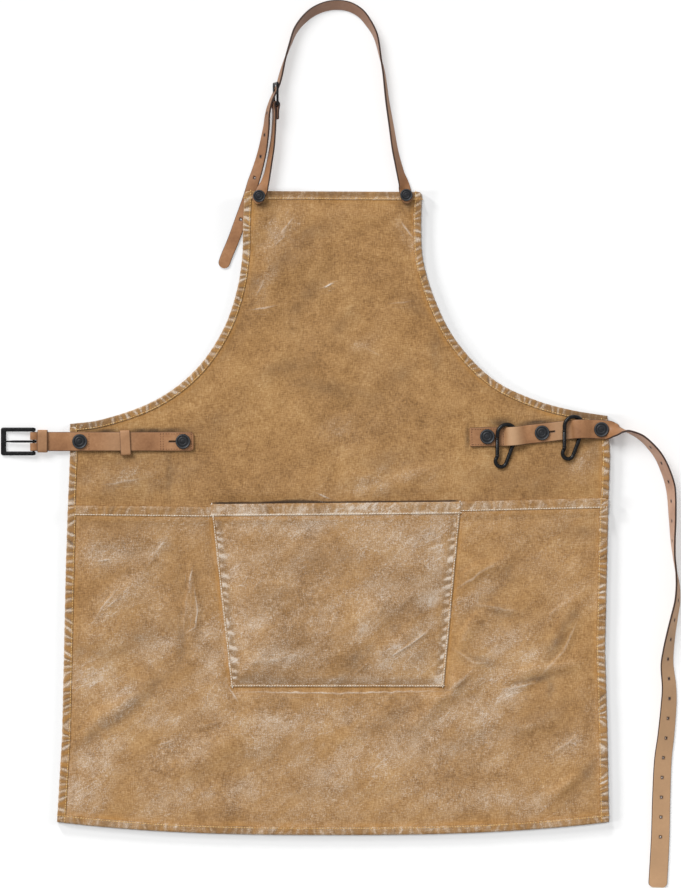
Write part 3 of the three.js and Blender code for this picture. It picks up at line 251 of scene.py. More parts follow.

# Dark patches, partly oil stains and partly painted shade along folds: x, y, reach along, reach across, turn
# in degrees, strength
OIL_AND_SHADE_PATCHES = [
    (-41, 266, 30, 9, 20, 0.40), (-73, 234, 42, 9, 42, 0.45), (-105, 207, 20, 8, 35, 0.50),
    (-44, 188, 34, 9, 48, 0.50), (5, 154, 24, 10, 40, 0.34), (95, 173, 24, 9, -40, 0.45),
    (121, 129, 40, 9, 90, 0.45), (72, 85, 22, 10, 30, 0.42), (-137, 135, 34, 10, 55, 0.50),
    (-69, 95, 36, 11, 15, 0.40), (-10, 70, 60, 11, -15, 0.36), (-170, 20, 50, 20, 30, 0.30),
    (-270, -30, 90, 44, 0, 0.36), (70, -20, 60, 14, 12, 0.30), (84, -60, 40, 7, 8, 0.45),
    (200, 72, 60, 12, -34, 0.40), (318, 0, 26, 40, 0, 0.40), (240, -46, 100, 40, 0, 0.30),
    (325, 32, 20, 6, -10, 0.90), (290, 38, 30, 4, -10, 0.55), (-300, 22, 40, 5, 8, 0.40),
    (-200, 66, 46, 10, 36, 0.35),
    (-250, -108, 80, 9, 0, 0.30), (-262, -130, 60, 12, 2, 0.34), (-284, -345, 60, 9, 39, 0.75),
    (-320, -262, 40, 14, 0, 0.45), (-262, -250, 60, 14, 22, 0.50), (-248, -308, 26, 7, 18, 0.50),
    (-203, -252, 26, 5, 88, 0.70), (-206, -168, 26, 5, 88, 0.30), (190, -190, 50, 7, 32, 0.40),
    (196, -211, 32, 6, -12, 0.55), (182, -276, 22, 6, -14, 0.65), (152, -305, 30, 7, 42, 0.60),
    (244, -300, 30, 5, 12, 0.80), (276, -246, 34, 8, 62, 0.60), (292, -222, 20, 6, 50, 0.50),
    (266, -312, 14, 5, 80, 0.50), (240, -350, 70, 10, 20, 0.34), (172, -372, 60, 10, 24, 0.36),
    (312, -420, 30, 8, 52, 0.55), (300, -446, 26, 6, 40, 0.50), (214, -166, 30, 8, 60, 0.36),
    (308, -110, 40, 14, 0, 0.36),
    (-100, -392, 50, 14, 10, 0.26), (60, -350, 60, 9, 30, 0.36), (0, -440, 90, 12, 0, 0.20),
]
POCKET_OIL_AND_SHADE = [
    (-30, -150, 90, 14, 4, 0.32), (90, -170, 44, 14, 0, 0.36), (84, -214, 40, 12, 40, 0.60),
    (-80, -196, 50, 16, 10, 0.26), (104, -268, 22, 8, 40, 0.55), (-100, -294, 44, 7, 0, 0.55),
    (22, -268, 30, 9, 46, 0.55), (8, -292, 22, 8, 40, 0.50), (-60, -254, 70, 6, 4, 0.36),
    (60, -222, 24, 8, 46, 0.40),
]

# Dark shade beside the straps, buttons and creases, in the same columns
SHADE_PATCHES = [
    (-236, 16.4, 36, 3.2, 1, 1.00), (-292, 15.6, 32, 2.6, 1, 1.00), (203, 27, 15, 6, 0, 0.70),
    (246, 27, 30, 3, 6.5, 1.00),
    (161, 8, 2.4, 13, 0, 0.80), (250, -309, 16, 2.6, 14, 0.60),
    (-217.5, -40, 34, 4.5, 90, 0.35), (-100, 303, 9, 5, 20, 0.55), (86, 303, 10, 6, -20, 0.65),
    (-330, -66, 16, 3, 0, 0.35), (282, 24, 12, 4, 8, 0.50),
]

# Strap routes along the middle of the leather: x, y, z, roll in degrees from lying flat with the grain side
# up. A row without z stands with its lower edge on the table.
NECK_LONG_START = [
    (84.9, 305.4, 5.2, 0), (83.6, 315.8, 5.3, 0), (81.5, 323.2, 5.5, 3), (80.4, 329.5, 6.4, 30),
    (76.2, 342.9, 7.2, 52), (72.4, 358.1, 60), (69, 373.4, 64), (64.2, 403.9, 70),
    (59.4, 434.3, 76), (54.6, 472.4, 83), (51.4, 487.7, 90),
    (44.5, 518.2, 108), (36.2, 533.4, 120), (26, 546.2, 130),
    (12.5, 554.4, 137), (-3.2, 557.2, 140), (-19.5, 555, 137),
    (-34, 548.8, 130), (-45.1, 540, 121), (-56.5, 525.8, 108),
    (-64.1, 506.7, 8.6, 95), (-71.4, 484, 9.6, 84),
]
NECK_LONG_TAIL = [
    (-92.1, 419.1, 12, 70), (-93.6, 403.9, 9.8, 62), (-95.9, 388.6, 8.3, 53), (-98.6, 373.4, 6.9, 44),
    (-102.4, 358.1, 5.6, 36), (-107, 342.9, 4.3, 25), (-110.4, 333, 3.2, 15), (-113, 324, 1.9, 4),
    (-116.4, 313.1, 1.4, 0), (-127.6, 281.9, 0), (-135.9, 259.1, 0),
    (-145.4, 236.2, 0), (-149.6, 223.4, 0),
]
TAIL_LINE = np.array([(-113, 324), (-116.4, 313.1), (-127.6, 281.9)])
NECK_SHORT_START = [
    (-106.7, 304.8, 8.7, 0), (-103.1, 314.3, 8.8, 0), (-98.8, 323.2, 9.9, -18), (-96.2, 329.5, 10.8, -44),
    (-92.6, 342.9, 10.6, -60), (-89.8, 358.1, 10.4, -65), (-87.2, 373.4, 10.5, -67),
    (-85.3, 388.6, 10.8, -72),
]
WAIST_RIGHT = [
    (164.1, 8.6, 3.8, 0), (177, 9, 4.1, 0), (186.4, 9.3, 4.1, 0), (196, 9.4, 3.8, 0), (206, 9.4, 3.5, 0),
    (209.3, 9.4, 4.8, 0), (212.4, 9.5, 8, 0), (216, 9.7, 9.9, 0), (223, 10.3, 9.9, 0), (229, 11, 7.9, 0),
    (236, 12, 4.9, 0), (243, 12.8, 4.2, 0), (255.7, 14.1, 4.2, 0), (266, 15.3, 4.1, 0), (283, 17.3, 4.1, 0),
    (290.5, 18.1, 4.1, 0), (293.8, 18.5, 5.4, 0), (297, 18.8, 8.6, 0), (301, 19, 10.3, 0),
    (308, 19.2, 10.2, 0),
    (314, 19.1, 7.9, 0), (319.5, 19, 5.6, 0), (331, 18.4, 5.3, 0), (339, 17.8, 5.6, -4),
    (345, 16.8, 8.4, -32),
    (351, 16.4, -60), (357, 16.9, -80), (364, 16.2, -93), (380.4, 8.9, -103),
    (393.1, -2.5, -107), (403.2, -15.2, -110), (410.8, -30.5, -113),
    (418.5, -54.6, -114), (421, -92.7, -106), (421.6, -121.9, -97),
    (422.9, -141, -90), (425.6, -162.6, -86), (427.4, -180.3, -78),
    (426.8, -199.4, -72), (422.9, -219.7, -67), (419.1, -238.8, -62),
    (415.5, -261.6, -54), (414, -279.4, -47), (416.6, -308.6, -40),
    (416.3, -328.9, -33), (412.8, -369.6, -27), (409.1, -400.1, -22),
    (407, -449.6, -16), (405.8, -500.4, -12), (402.6, -562.6, -6),
]
WAIST_LEFT_TOP = [
    (-186.6, 4), (-199.8, 4.2), (-210, 4.1), (-236, 3.6), (-262, 4.8), (-273, 5.1), (-284, 4.8),
    (-300, 4.4),
    (-320, 5.3), (-330.8, 5.4), (-343, 5.5), (-357, 6.4), (-371, 6.7), (-381, 7.4),
]
WAIST_LEFT_UNDER = [(-384, 3.4), (-372, 3.4), (-357, 2.8)]
NECK_THREAD = [(38, -7), (25.2, -3.4), (14.9, 1.2), (3, 6.4)]
NECK_FOLD_PINCH = 15
NECK_FOLD_SIDE = 1.6
NECK_FOLD_SPREAD = 1.9
NECK_FOLD_TAIL = 19
BAR_ANGLES = np.radians([90, 50, 0, -50, -90])

# Keepers: x, y, width, across, low, high, turn in degrees
KEEPERS = {
    "keeper_buckle": (-378, 3.6, 12.6, 28.8, 0, 12, 0),
    "keeper_loose": (-273, 1.7, 13, 31.8, 1.6, 8.7, 3),
}


# Plain helpers


def smoothstep(x, low, high):
    """Eases from 0 at low to 1 at high."""
    t = np.clip((x - low) / (high - low), 0, 1)
    return t * t * (3 - 2 * t)


def bell(x, reach):
    """Falls off from 1 in the middle on both sides, to about a third at the reach."""
    return np.exp(-((x / reach) ** 2))


def cloud(x, y, wave, seed):
    """A smooth random field from -1 to 1: random numbers on a square lattice, eased from one to the
    next."""
    size = 128
    table = np.random.default_rng(seed).uniform(-1, 1, (size, size))
    across, up = np.asarray(x, float) / wave, np.asarray(y, float) / wave
    i, j = np.floor(across).astype(int), np.floor(up).astype(int)
    fx, fy = smoothstep(across - i, 0, 1), smoothstep(up - j, 0, 1)
    low = table[i % size, j % size] * (1 - fx) + table[(i + 1) % size, j % size] * fx
    high = table[i % size, (j + 1) % size] * (1 - fx) + table[(i + 1) % size, (j + 1) % size] * fx
    return low * (1 - fy) + high * fy


def draw(number, seed):
    """One random number from 0 to 1 for each whole number, the same on every run."""
    table = np.random.default_rng(seed).uniform(0, 1, 1024)
    return table[np.asarray(number, int) % 1024]


def span_distance(x, y, x0, y0, x1, y1):
    """Distance to a straight span, and how far along it the nearest place lies, from 0 to 1."""
    dx, dy = x1 - x0, y1 - y0
    share = np.clip(((x - x0) * dx + (y - y0) * dy) / (dx * dx + dy * dy), 0, 1)
    return np.hypot(x - x0 - share * dx, y - y0 - share * dy), share


def line_distance(x, y, line):
    """Distance to the nearest of a line's straight spans."""
    nearest = np.full(np.shape(x), np.inf)
    for (x0, y0), (x1, y1) in zip(line[:-1], line[1:]):
        nearest = np.minimum(nearest, span_distance(x, y, x0, y0, x1, y1)[0])
    return nearest


def unit(vectors):
    """Vectors of length 1 in the same directions."""
    return vectors / np.maximum(np.linalg.norm(vectors, axis=-1, keepdims=True), 1e-12)


def directions(line):
    """The direction along a line at each of its places."""
    return unit(np.gradient(line, axis=0))


def right_of(along):
    """Directions in the plane, turned a quarter to the right."""
    return np.stack([along[:, 1], -along[:, 0]], 1)


def lengths_along(line):
    """Length from the start of a line to each of its places."""
    return np.concatenate([[0], np.cumsum(np.linalg.norm(np.diff(line, axis=0), axis=1))])


def respaced(line, step):
    """Places along a line at an even step, both ends included."""
    s = lengths_along(line)
    even = np.linspace(0, s[-1], max(2, round(s[-1] / step) + 1))
    return np.stack([np.interp(even, s, column) for column in np.asarray(line).T], 1)


def smooth_curve(points, per_span):
    """Cubic spans through the points. Their tangents weigh the chords by the square roots of their
    lengths."""
    points = np.asarray(points, float)
    p = np.vstack([2 * points[0] - points[1], points, 2 * points[-1] - points[-2]])
    root = np.sqrt(np.linalg.norm(np.diff(p, axis=0), axis=1))[:, None]
    a, b, c, d = p[:-3], p[1:-2], p[2:-1], p[3:]
    before, span, after = root[:-2], root[1:-1], root[2:]
    leave = ((b - a) / before - (c - a) / (before + span) + (c - b) / span) * span
    reach = ((c - b) / span - (d - b) / (span + after) + (d - c) / after) * span
    t = (np.arange(per_span) / per_span)[None, :, None]
    start = b[:, None] * (2 * t**3 - 3 * t**2 + 1) + leave[:, None] * (t**3 - 2 * t**2 + t)
    end = c[:, None] * (3 * t**2 - 2 * t**3) + reach[:, None] * (t**3 - t**2)
    return np.vstack([(start + end).reshape(-1, points.shape[1]), points[-1:]])


# Meshes


def shown(name, data):
    """An object of the scene that shows a mesh, a lamp or a camera."""
    made = bpy.data.objects.new(name, data)
    bpy.context.scene.collection.objects.link(made)
    return made


def add_piece(name, points, faces, finish, marks=None, body="apron", nodes=(), weld=False):
    """Puts points in millimetres and four-sided faces into a mesh that rides a body. A finish is a material
    and its slot, and the slot is not used. Marks are numbers kept at each point for the material. Welding
    joins points that meet and turns every face outwards."""
    material, slot = finish
    used, faces = np.unique(faces, return_inverse=True)
    faces = faces.reshape(-1, 4).astype(np.int32)
    mesh = bpy.data.meshes.new(name)
    mesh.vertices.add(len(used))
    mesh.vertices.foreach_set("co", (points[used] * MM).astype(np.float32).ravel())
    mesh.loops.add(faces.size)
    mesh.loops.foreach_set("vertex_index", faces.ravel())
    mesh.polygons.add(len(faces))
    mesh.polygons.foreach_set("loop_start", np.arange(0, faces.size, 4, dtype=np.int32))
    mesh.update(calc_edges=True)
    for mark, values in (marks or {}).items():
        layer = mesh.attributes.new(mark, "FLOAT", "POINT")
        layer.data.foreach_set("value", np.asarray(values, np.float32).ravel()[used])
    if weld:
        work = bmesh.new()
        work.from_mesh(mesh)
        bmesh.ops.remove_doubles(work, verts=work.verts, dist=1e-7)
        bmesh.ops.recalc_face_normals(work, faces=work.faces)
        work.to_mesh(mesh)
        work.free()
    mesh.polygons.foreach_set("use_smooth", np.ones(len(mesh.polygons), bool))
    mesh.materials.append(material)
    piece = shown(name, mesh)
    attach(piece, body)
    if nodes:
        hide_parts(*nodes)
    return piece


def walled_sheet(top, bottom, cut=None):
    """A closed wall between two grids of places, without the cut cells: a face on each side of every kept
    cell, and a side wall wherever a kept cell borders a cut one or the outside."""
    n, m = top.shape[:2]
    number = np.arange(n * m).reshape(n, m)
    under = n * m
    kept = np.ones((n - 1, m - 1), bool) if cut is None else ~cut
    i, j = np.nonzero(kept)
    cells = np.stack([number[i, j], number[i + 1, j], number[i + 1, j + 1], number[i, j + 1]], 1)
    faces = [cells, cells[:, ::-1] + under]
    around = np.pad(kept, 1)
    below, above = around[1:-1, :-1], around[1:-1, 1:]
    before, after = around[:-1, 1:-1], around[1:, 1:-1]
    for opened, turn in ((above & ~below, 1), (below & ~above, -1)):
        i, j = np.nonzero(opened)
        a, b = number[i, j], number[i + 1, j]
        faces.append(np.stack([a + under, b + under, b, a], 1)[:, ::turn])
    for opened, turn in ((after & ~before, 1), (before & ~after, -1)):
        i, j = np.nonzero(opened)
        a, b = number[i, j], number[i, j + 1]
        faces.append(np.stack([a, b, b + under, a + under], 1)[:, ::turn])
    return np.concatenate([top.reshape(-1, 3), bottom.reshape(-1, 3)]), np.concatenate(faces)


def drawn_in(values):
    """Adds a row at each end of a grid, in which every place is the mean of the end row."""
    first = np.broadcast_to(values[0].mean(0), values[0].shape)
    last = np.broadcast_to(values[-1].mean(0), values[-1].shape)
    return np.concatenate([first[None], values, last[None]])


def carried(n, m, closed=False):
    """Faces of a profile of m places, closed on itself, carried along n stations of an open or closed
    path."""
    i = np.arange(n if closed else n - 1)[:, None]
    j = np.arange(m)[None, :]
    here, beyond = (i % n) * m, ((i + 1) % n) * m
    beside = (j + 1) % m
    return np.stack([here + j, here + beside, beyond + beside, beyond + j], -1).reshape(-1, 4)


def add_grid(name, grid, finish, marks=None, body="apron", nodes=(), closed=False):
    """A welded piece from a grid of stations along a path and the places of a profile closed on itself."""
    faces = carried(*grid.shape[:2], closed)
    return add_piece(name, grid.reshape(-1, 3), faces, finish, marks, body, nodes, weld=True)


def placed(local, origin, basis):
    """Local places carried to an origin and three axes, the rows of the basis."""
    return np.asarray(origin) + local @ np.asarray(basis)


def oval_profile(width, thick, power, count):
    """A rounded oblong: a circle's angle with its sine and cosine raised to a power below one."""
    angle = np.linspace(0, 2 * np.pi, count, endpoint=False)
    swell = lambda v: np.sign(v) * np.abs(v) ** power
    return np.stack([width / 2 * swell(np.cos(angle)), thick / 2 * swell(np.sin(angle))], 1)


# Finishes


def tint(red, green, blue):
    """A colour from its usual 0 to 255 values, as light."""
    part = np.array([red, green, blue]) / 255
    light = np.where(part <= 0.04045, part / 12.92, ((part + 0.055) / 1.055) ** 2.4)
    return (*light, 1.0)


class Finish:
    """A material under construction, with short calls that add a node and join its inputs."""

    def __init__(self, name, **shader):
        self.material = bpy.data.materials.new(name)
        self.material.use_nodes = True
        self.tree = self.material.node_tree
        self.shader = self.tree.nodes["Principled BSDF"]
        for socket, value in shader.items():
            self.shader.inputs[socket.replace("_", " ").title().replace("Ior", "IOR")].default_value = value

    def add(self, kind, inputs, **settings):
        made = self.tree.nodes.new("ShaderNode" + kind)
        for key, value in settings.items():
            setattr(made, key, value)
        for key, value in inputs.items():
            self.join(made.inputs[key], value)
        return made

    def join(self, socket, value):
        if isinstance(value, bpy.types.NodeSocket):
            self.tree.links.new(value, socket)
        else:
            socket.default_value = value

    def place(self, scale=(1, 1, 1), turn=0.0):
        """Object coordinates, turned about Z and then stretched."""
        where = self.add("TexCoord", {}).outputs["Object"]
        turned = self.add("Mapping", {"Vector": where, "Rotation": (0, 0, turn)}).outputs["Vector"]
        return self.add("Mapping", {"Vector": turned, "Scale": scale}).outputs["Vector"]

    def noise(self, scale, detail=2.0, rough=0.5, place=None):
        inputs = {"Vector": place or self.place(), "Scale": scale, "Detail": detail, "Roughness": rough}
        return self.add("TexNoise", inputs).outputs["Fac"]

    def mark(self, name):
        return self.add("Attribute", {}, attribute_name=name).outputs["Fac"]

    def math(self, operation, first, second=0.0):
        return self.add("Math", {0: first, 1: second}, operation=operation).outputs[0]

    def plus(self, first, second):
        return self.math("ADD", first, second)

    def times(self, first, second):
        return self.math("MULTIPLY", first, second)

    def ranged(self, value, low, high, to_low=0.0, to_high=1.0):
        inputs = {0: value, 1: low, 2: high, 3: to_low, 4: to_high}
        return self.add("MapRange", inputs, interpolation_type="SMOOTHSTEP").outputs[0]

    def blend(self, share, first, second, way="MIX"):
        inputs = {0: share, 6: first, 7: second}
        return self.add("Mix", inputs, data_type="RGBA", blend_type=way).outputs[2]

    def ramp(self, value, *stops):
        made = self.add("ValToRGB", {0: value})
        elements = made.color_ramp.elements
        elements[0].position, elements[0].color = stops[0]
        elements[1].position, elements[1].color = stops[-1]
        for position, colour in stops[1:-1]:
            elements.new(position).color = colour
        return made.outputs[0]

    def bump(self, height, strength, depth):
        inputs = {"Height": height, "Strength": strength, "Distance": depth}
        self.join(self.shader.inputs["Normal"], self.add("Bump", inputs).outputs[0])

    def colour(self, value):
        self.join(self.shader.inputs["Base Color"], value)

    def roughness(self, value):
        self.join(self.shader.inputs["Roughness"], value)


def waxed_canvas():
    """Tan canvas with a thread grain, darker where marked with oil and with painted shade. Where the
    whitening mark is high it has a grey film, white flecks and thin slanting veins, partly wax and partly
    painted sheen and glints of the coating, and each crease has a white line."""
    f = Finish("waxed_canvas", specular_ior_level=0.3)
    broad = f.noise(9, 3, 0.55)
    middling = f.noise(46, 4, 0.6)
    upright = f.noise(1, 3, 0.6, f.place((820, 180, 400)))
    level = f.noise(1, 3, 0.6, f.place((180, 820, 400)))
    grain = f.plus(upright, level)
    tone = f.plus(f.times(broad, 0.6), f.times(middling, 0.45))
    tone = f.plus(tone, f.times(f.math("SUBTRACT", grain, 1.0), 0.75))
    cloth = f.ramp(tone, (0.24, tint(126, 90, 49)), (0.48, tint(165, 122, 72)), (0.66, tint(186, 142, 88)),
                   (0.92, tint(212, 174, 120)))
    # The dark mark is partly oil and partly painted shade.
    oil_and_shade = f.times(f.mark("oil_and_shade"), f.ranged(middling, 0.3, 0.6, 0.6, 1.0))
    cloth = f.blend(oil_and_shade, cloth, tint(112, 84, 56))
    golden = f.times(f.mark("golden"), f.ranged(middling, 0.25, 0.6, 0.5, 1.0))
    cloth = f.blend(golden, cloth, tint(196, 138, 60))
    cloth = f.blend(f.mark("shade"), cloth, tint(52, 35, 22))
    # The whitening is streaked on a slant as a painted sheen.
    slanted = f.noise(1, 3, 0.55, f.place((15, 52, 20), -0.66))
    bloom_and_sheen = f.times(f.mark("bloom_and_sheen"), f.ranged(slanted, 0.34, 0.66, 0.75, 1.25))
    film = f.times(bloom_and_sheen, f.ranged(middling, 0.3, 0.7, 0.3, 0.75))
    cloth = f.blend(film, cloth, tint(204, 178, 148))
    vein = f.math("ABSOLUTE", f.math("SUBTRACT", slanted, 0.5))
    vein = f.times(f.ranged(vein, 0.0, 0.02, 1.0, 0.0), f.ranged(broad, 0.4, 0.58))
    crease = f.math("ABSOLUTE", f.mark("crease"))
    crease_wax = f.times(f.mark("crease_wax"), f.ranged(middling, 0.35, 0.6, 0.45, 1.0))
    fleck = f.plus(f.times(f.noise(820, 2, 0.6), 0.55), f.times(grain, 0.225))
    white_line = f.times(f.ranged(crease, 0.1, 0.7, 1.0, 0.0), crease_wax)
    white_line = f.times(white_line, f.ranged(fleck, 0.4, 0.56, 0.3, 0.95))
    wax = f.plus(fleck, f.times(bloom_and_sheen, 0.2))
    wax = f.plus(wax, f.times(f.times(vein, bloom_and_sheen), 0.22))
    wax = f.times(f.ranged(wax, 0.52, 0.8, 0.0, 0.66), f.ranged(bloom_and_sheen, 0.05, 0.3, 0.15, 1.0))
    wax = f.math("MAXIMUM", wax, white_line)
    cloth = f.blend(wax, cloth, tint(234, 224, 212))
    f.colour(cloth)
    f.roughness(f.ranged(fleck, 0.35, 0.7, 0.78, 0.55))
    weave = f.add("TexWave", {"Vector": f.place(turn=0.6), "Scale": 330.0, "Distortion": 1.2, "Detail": 1.0})
    height = f.plus(f.times(grain, 0.5), f.times(weave.outputs["Fac"], 0.15))
    height = f.plus(height, f.times(vein, 0.25))
    height = f.plus(height, f.times(f.ranged(crease, 0.0, 1.0, 1.0, 0.0), crease_wax))
    f.bump(f.plus(height, f.times(middling, 0.5)), 0.6, 0.001)
    return f.material


def strap_leather():
    """Tan leather: a smooth grain side, a pinkish fibrous flesh side and dark painted edges, paler or duller
    where it is marked so. On the waist straps the pale mark is partly a painted highlight."""
    f = Finish("strap_leather", specular_ior_level=0.4)
    broad = f.noise(22, 3, 0.6)
    fine = f.noise(300, 4, 0.65)
    pores = f.add("TexVoronoi", {"Vector": f.place(), "Scale": 900.0}).outputs["Distance"]
    tone = f.plus(f.times(broad, 0.75), f.times(fine, 0.3))
    grain = f.ramp(tone, (0.32, tint(134, 90, 56)), (0.55, tint(165, 117, 78)), (0.8, tint(196, 147, 105)))
    flesh = f.ramp(tone, (0.32, tint(146, 108, 86)), (0.55, tint(180, 138, 112)), (0.8, tint(204, 166, 138)))
    leather = f.blend(f.mark("flesh"), grain, flesh)
    leather = f.blend(f.times(f.mark("pale"), 0.6), leather, tint(214, 176, 136))
    leather = f.blend(f.times(f.mark("dull"), 0.6), leather, tint(104, 78, 66))
    leather = f.blend(f.mark("edge"), leather, tint(58, 38, 30))
    f.colour(leather)
    f.roughness(f.ranged(fine, 0.3, 0.7, 0.42, 0.6))
    f.bump(f.plus(f.times(pores, 0.5), fine), 0.25, 0.0005)
    return f.material


def thread(name, low, high):
    """Twisted sewing thread, lighter and darker along its length."""
    f = Finish(name, roughness=0.65)
    f.colour(f.ramp(f.noise(420, 2), (0.35, low), (0.65, high)))
    return f.material


def black_enamel():
    """Black enamelled steel with a faintly uneven gloss."""
    f = Finish("black_enamel", specular_ior_level=0.32)
    wear = f.noise(160, 4, 0.6)
    f.colour(f.ramp(wear, (0.4, tint(9, 9, 10)), (0.75, tint(26, 26, 28))))
    f.roughness(f.ranged(wear, 0.3, 0.7, 0.22, 0.38))
    f.bump(f.noise(700, 2), 0.08, 0.0004)
    return f.material


def button_finish():
    """Dark grey metal, lighter on the ridges that rubbing wears."""
    f = Finish("button_finish", metallic=0.55)
    wear = f.noise(260, 4, 0.6)
    dark = f.ramp(wear, (0.3, tint(28, 29, 32)), (0.8, tint(54, 55, 58)))
    f.colour(f.blend(f.mark("ridge"), dark, tint(66, 68, 71)))
    f.roughness(f.ranged(wear, 0.3, 0.7, 0.38, 0.58))
    f.bump(f.noise(900, 2), 0.12, 0.0004)
    return f.material


# Materials, each with its slot
CANVAS_FINISH = waxed_canvas(), "canvas"
LEATHER_FINISH = strap_leather(), "leather"
GOLD_THREAD = thread("gold_thread", tint(206, 152, 74), tint(238, 206, 146)), "canvas"
PALE_THREAD = thread("pale_thread", tint(226, 206, 176), tint(250, 244, 234)), "canvas"
BROWN_THREAD = thread("brown_thread", tint(92, 58, 38), tint(134, 92, 62)), "leather"
BLACK_FINISH = black_enamel(), "black_metal"
BUTTON_FINISH = button_finish(), "button_metal"


# Cloth: outline and heights


def seam_y(x):
    """Height of the waist seam."""
    return np.interp(x, SEAM[:, 0], SEAM[:, 1])


def left_side(y):
    return np.interp(y, SIDES[:, 0], SIDES[:, 1])


def right_side(y):
    return np.interp(y, SIDES[:, 0], SIDES[:, 2])


def hem_y(x):
    """The lower edge bows down between its two corners."""
    left, right = SIDES[0, 1], SIDES[0, 2]
    share = np.abs((x - (left + right) / 2) / ((right - left) / 2))
    return HEM_LINE - HEM_BOW * (1 - np.minimum(share, 1) ** HEM_BOW_POWER)


LEFT_ARM = smooth_curve(LEFT_ARMHOLE, 30)
RIGHT_ARM = smooth_curve(RIGHT_ARMHOLE, 30)
POCKET_SEWN = np.array([POCKET_TOP_LEFT, POCKET_LOW_LEFT, POCKET_LOW_RIGHT, POCKET_TOP_RIGHT])
WAIST_LINES = [
    np.array([(-186.6, 3.2), (-389, 3.2)]),
    np.array([row[:2] for row in WAIST_RIGHT if row[-1] == 0]),
]


def fold_height(folds, x, y):
    """Each fold swells to a wandering ridge line and dies out at both ends, and the highest one counts."""
    x = x + FOLD_WANDER * cloud(x, y, 34, 61)
    y = y + FOLD_WANDER * cloud(x, y, 34, 62)
    height = np.zeros(np.shape(x))
    for x0, y0, x1, y1, rise, reach in folds:
        distance, share = span_distance(x, y, x0, y0, x1, y1)
        swell = FOLD_SOFTNESS * rise * np.sin(np.pi * share) * bell(distance, FOLD_NARROWING * reach)
        height = np.maximum(height, swell)
    return height


def crease_place(x, y, line):
    """The distance from a crease, below 0 on its right, and how far along it the nearest place lies."""
    x = x + CREASE_WANDER * cloud(x, y, 8, 63)
    y = y + CREASE_WANDER * cloud(x, y, 8, 64)
    nearest, signed, along = (np.full(np.shape(x), start) for start in (np.inf, 0.0, 0.0))
    spans = len(line) - 1
    for k, ((x0, y0), (x1, y1)) in enumerate(zip(line[:-1], line[1:])):
        distance, share = span_distance(x, y, x0, y0, x1, y1)
        side = np.sign((x1 - x0) * (y - y0) - (y1 - y0) * (x - x0))
        signed = np.where(distance < nearest, side * distance, signed)
        along = np.where(distance < nearest, (k + share) / spans, along)
        nearest = np.minimum(nearest, distance)
    return signed, along


def crease_fade(along):
    """A crease dies out towards both ends."""
    return np.sin(np.pi * np.clip(along, 0.03, 0.97)) ** 0.6


def crease_height(creases, x, y):
    """A narrow bell across each crease."""
    total = np.zeros(np.shape(x))
    for line, half_width, height, _ in creases:
        signed, along = crease_place(x, y, line)
        total += height * bell(signed, half_width) * crease_fade(along)
    return total


def crease_marks(creases, x, y):
    """The distance from the nearest crease in half widths, and the white wax on it."""
    reach = 3.0
    nearest, wax = np.full(np.shape(x), reach), np.zeros(np.shape(x))
    for line, half_width, _, strength in creases:
        signed, along = crease_place(x, y, line)
        closer = np.abs(signed) / half_width < np.abs(nearest)
        nearest = np.where(closer, signed / half_width, nearest)
        wax = np.where(closer, strength * crease_fade(along), wax)
    return nearest, wax


def wrinkles(x, y, seed):
    """Small waves of a waxed cloth: three smooth random fields of falling length and height."""
    waves = 0.9 * cloud(x, y, 62, seed) + 0.55 * cloud(x + 0.4 * y, y, 27, seed + 1)
    return np.maximum(0, 1.1 + waves + 0.3 * cloud(x, y, 12, seed + 2))


def bib_lift(x, y):
    """The bib is raised over the buttons' tacks and over the neck strap's tail."""
    tacks = np.min([np.hypot(x - bx, y - by) for bx, by, _ in BUTTONS.values()], axis=0)
    over_tacks = TACK_LIFT * (1 - smoothstep(tacks, 1.5 * TACK_RADIUS, TACK_LIFT_REACH))
    tail = line_distance(x, y, TAIL_LINE)
    return np.maximum(over_tacks, TAIL_LIFT * (1 - smoothstep(tail, TAIL_LIFT_FULL, TAIL_LIFT_REACH)))


def bib_edge_distance(x, y):
    """Distance from the nearest of the bib's armholes, sides and top edge."""
    arms = np.minimum(line_distance(x, y, LEFT_ARM[::6]), line_distance(x, y, RIGHT_ARM[::6]))
    sides = np.minimum(np.abs(x - left_side(y)), np.abs(right_side(y) - x))
    top = np.abs(np.interp(x, TOP_EDGE[:, 0], TOP_EDGE[:, 1]) - y)
    return np.minimum(arms, np.minimum(sides, top))


def bib_base(x, y):
    """Underside of the bib: its lifts, and its folds where no edge, strap or seam holds it flat."""
    straps = np.min([line_distance(x, y, line) for line in WAIST_LINES], axis=0)
    calm = smoothstep(straps, 18, 40) * smoothstep(bib_edge_distance(x, y), 12, 34)
    calm = calm * smoothstep(y - seam_y(x), 3, 20)
    height = fold_height(BIB_FOLDS, x, y) + crease_height(BIB_CREASES, x, y) + wrinkles(x, y, 11)
    return bib_lift(x, y) + calm * height


def lap_lift(x, y):
    """The skirt lies on the bib's edge and slopes down to the table below it."""
    return (CANVAS + GAP) * (1 - smoothstep(seam_y(x) - y, LAP_WIDTH + 1, LAP_FOOT))


def inside_pocket(x, y):
    """Where the pocket covers the skirt."""
    share = (y - POCKET_LOW_LEFT[1]) / (POCKET_TOP_LEFT[1] - POCKET_LOW_LEFT[1])
    left = POCKET_LOW_LEFT[0] + share * (POCKET_TOP_LEFT[0] - POCKET_LOW_LEFT[0])
    right = POCKET_LOW_RIGHT[0] + share * (POCKET_TOP_RIGHT[0] - POCKET_LOW_RIGHT[0])
    return (x > left) & (x < right) & (y > POCKET_LOW_LEFT[1])


def skirt_edge_distance(x, y):
    """Distance from the nearer of the skirt's sides, or from its lower edge."""
    sides = np.minimum(x - left_side(y), right_side(y) - x)
    return np.minimum(sides, y - hem_y(x))


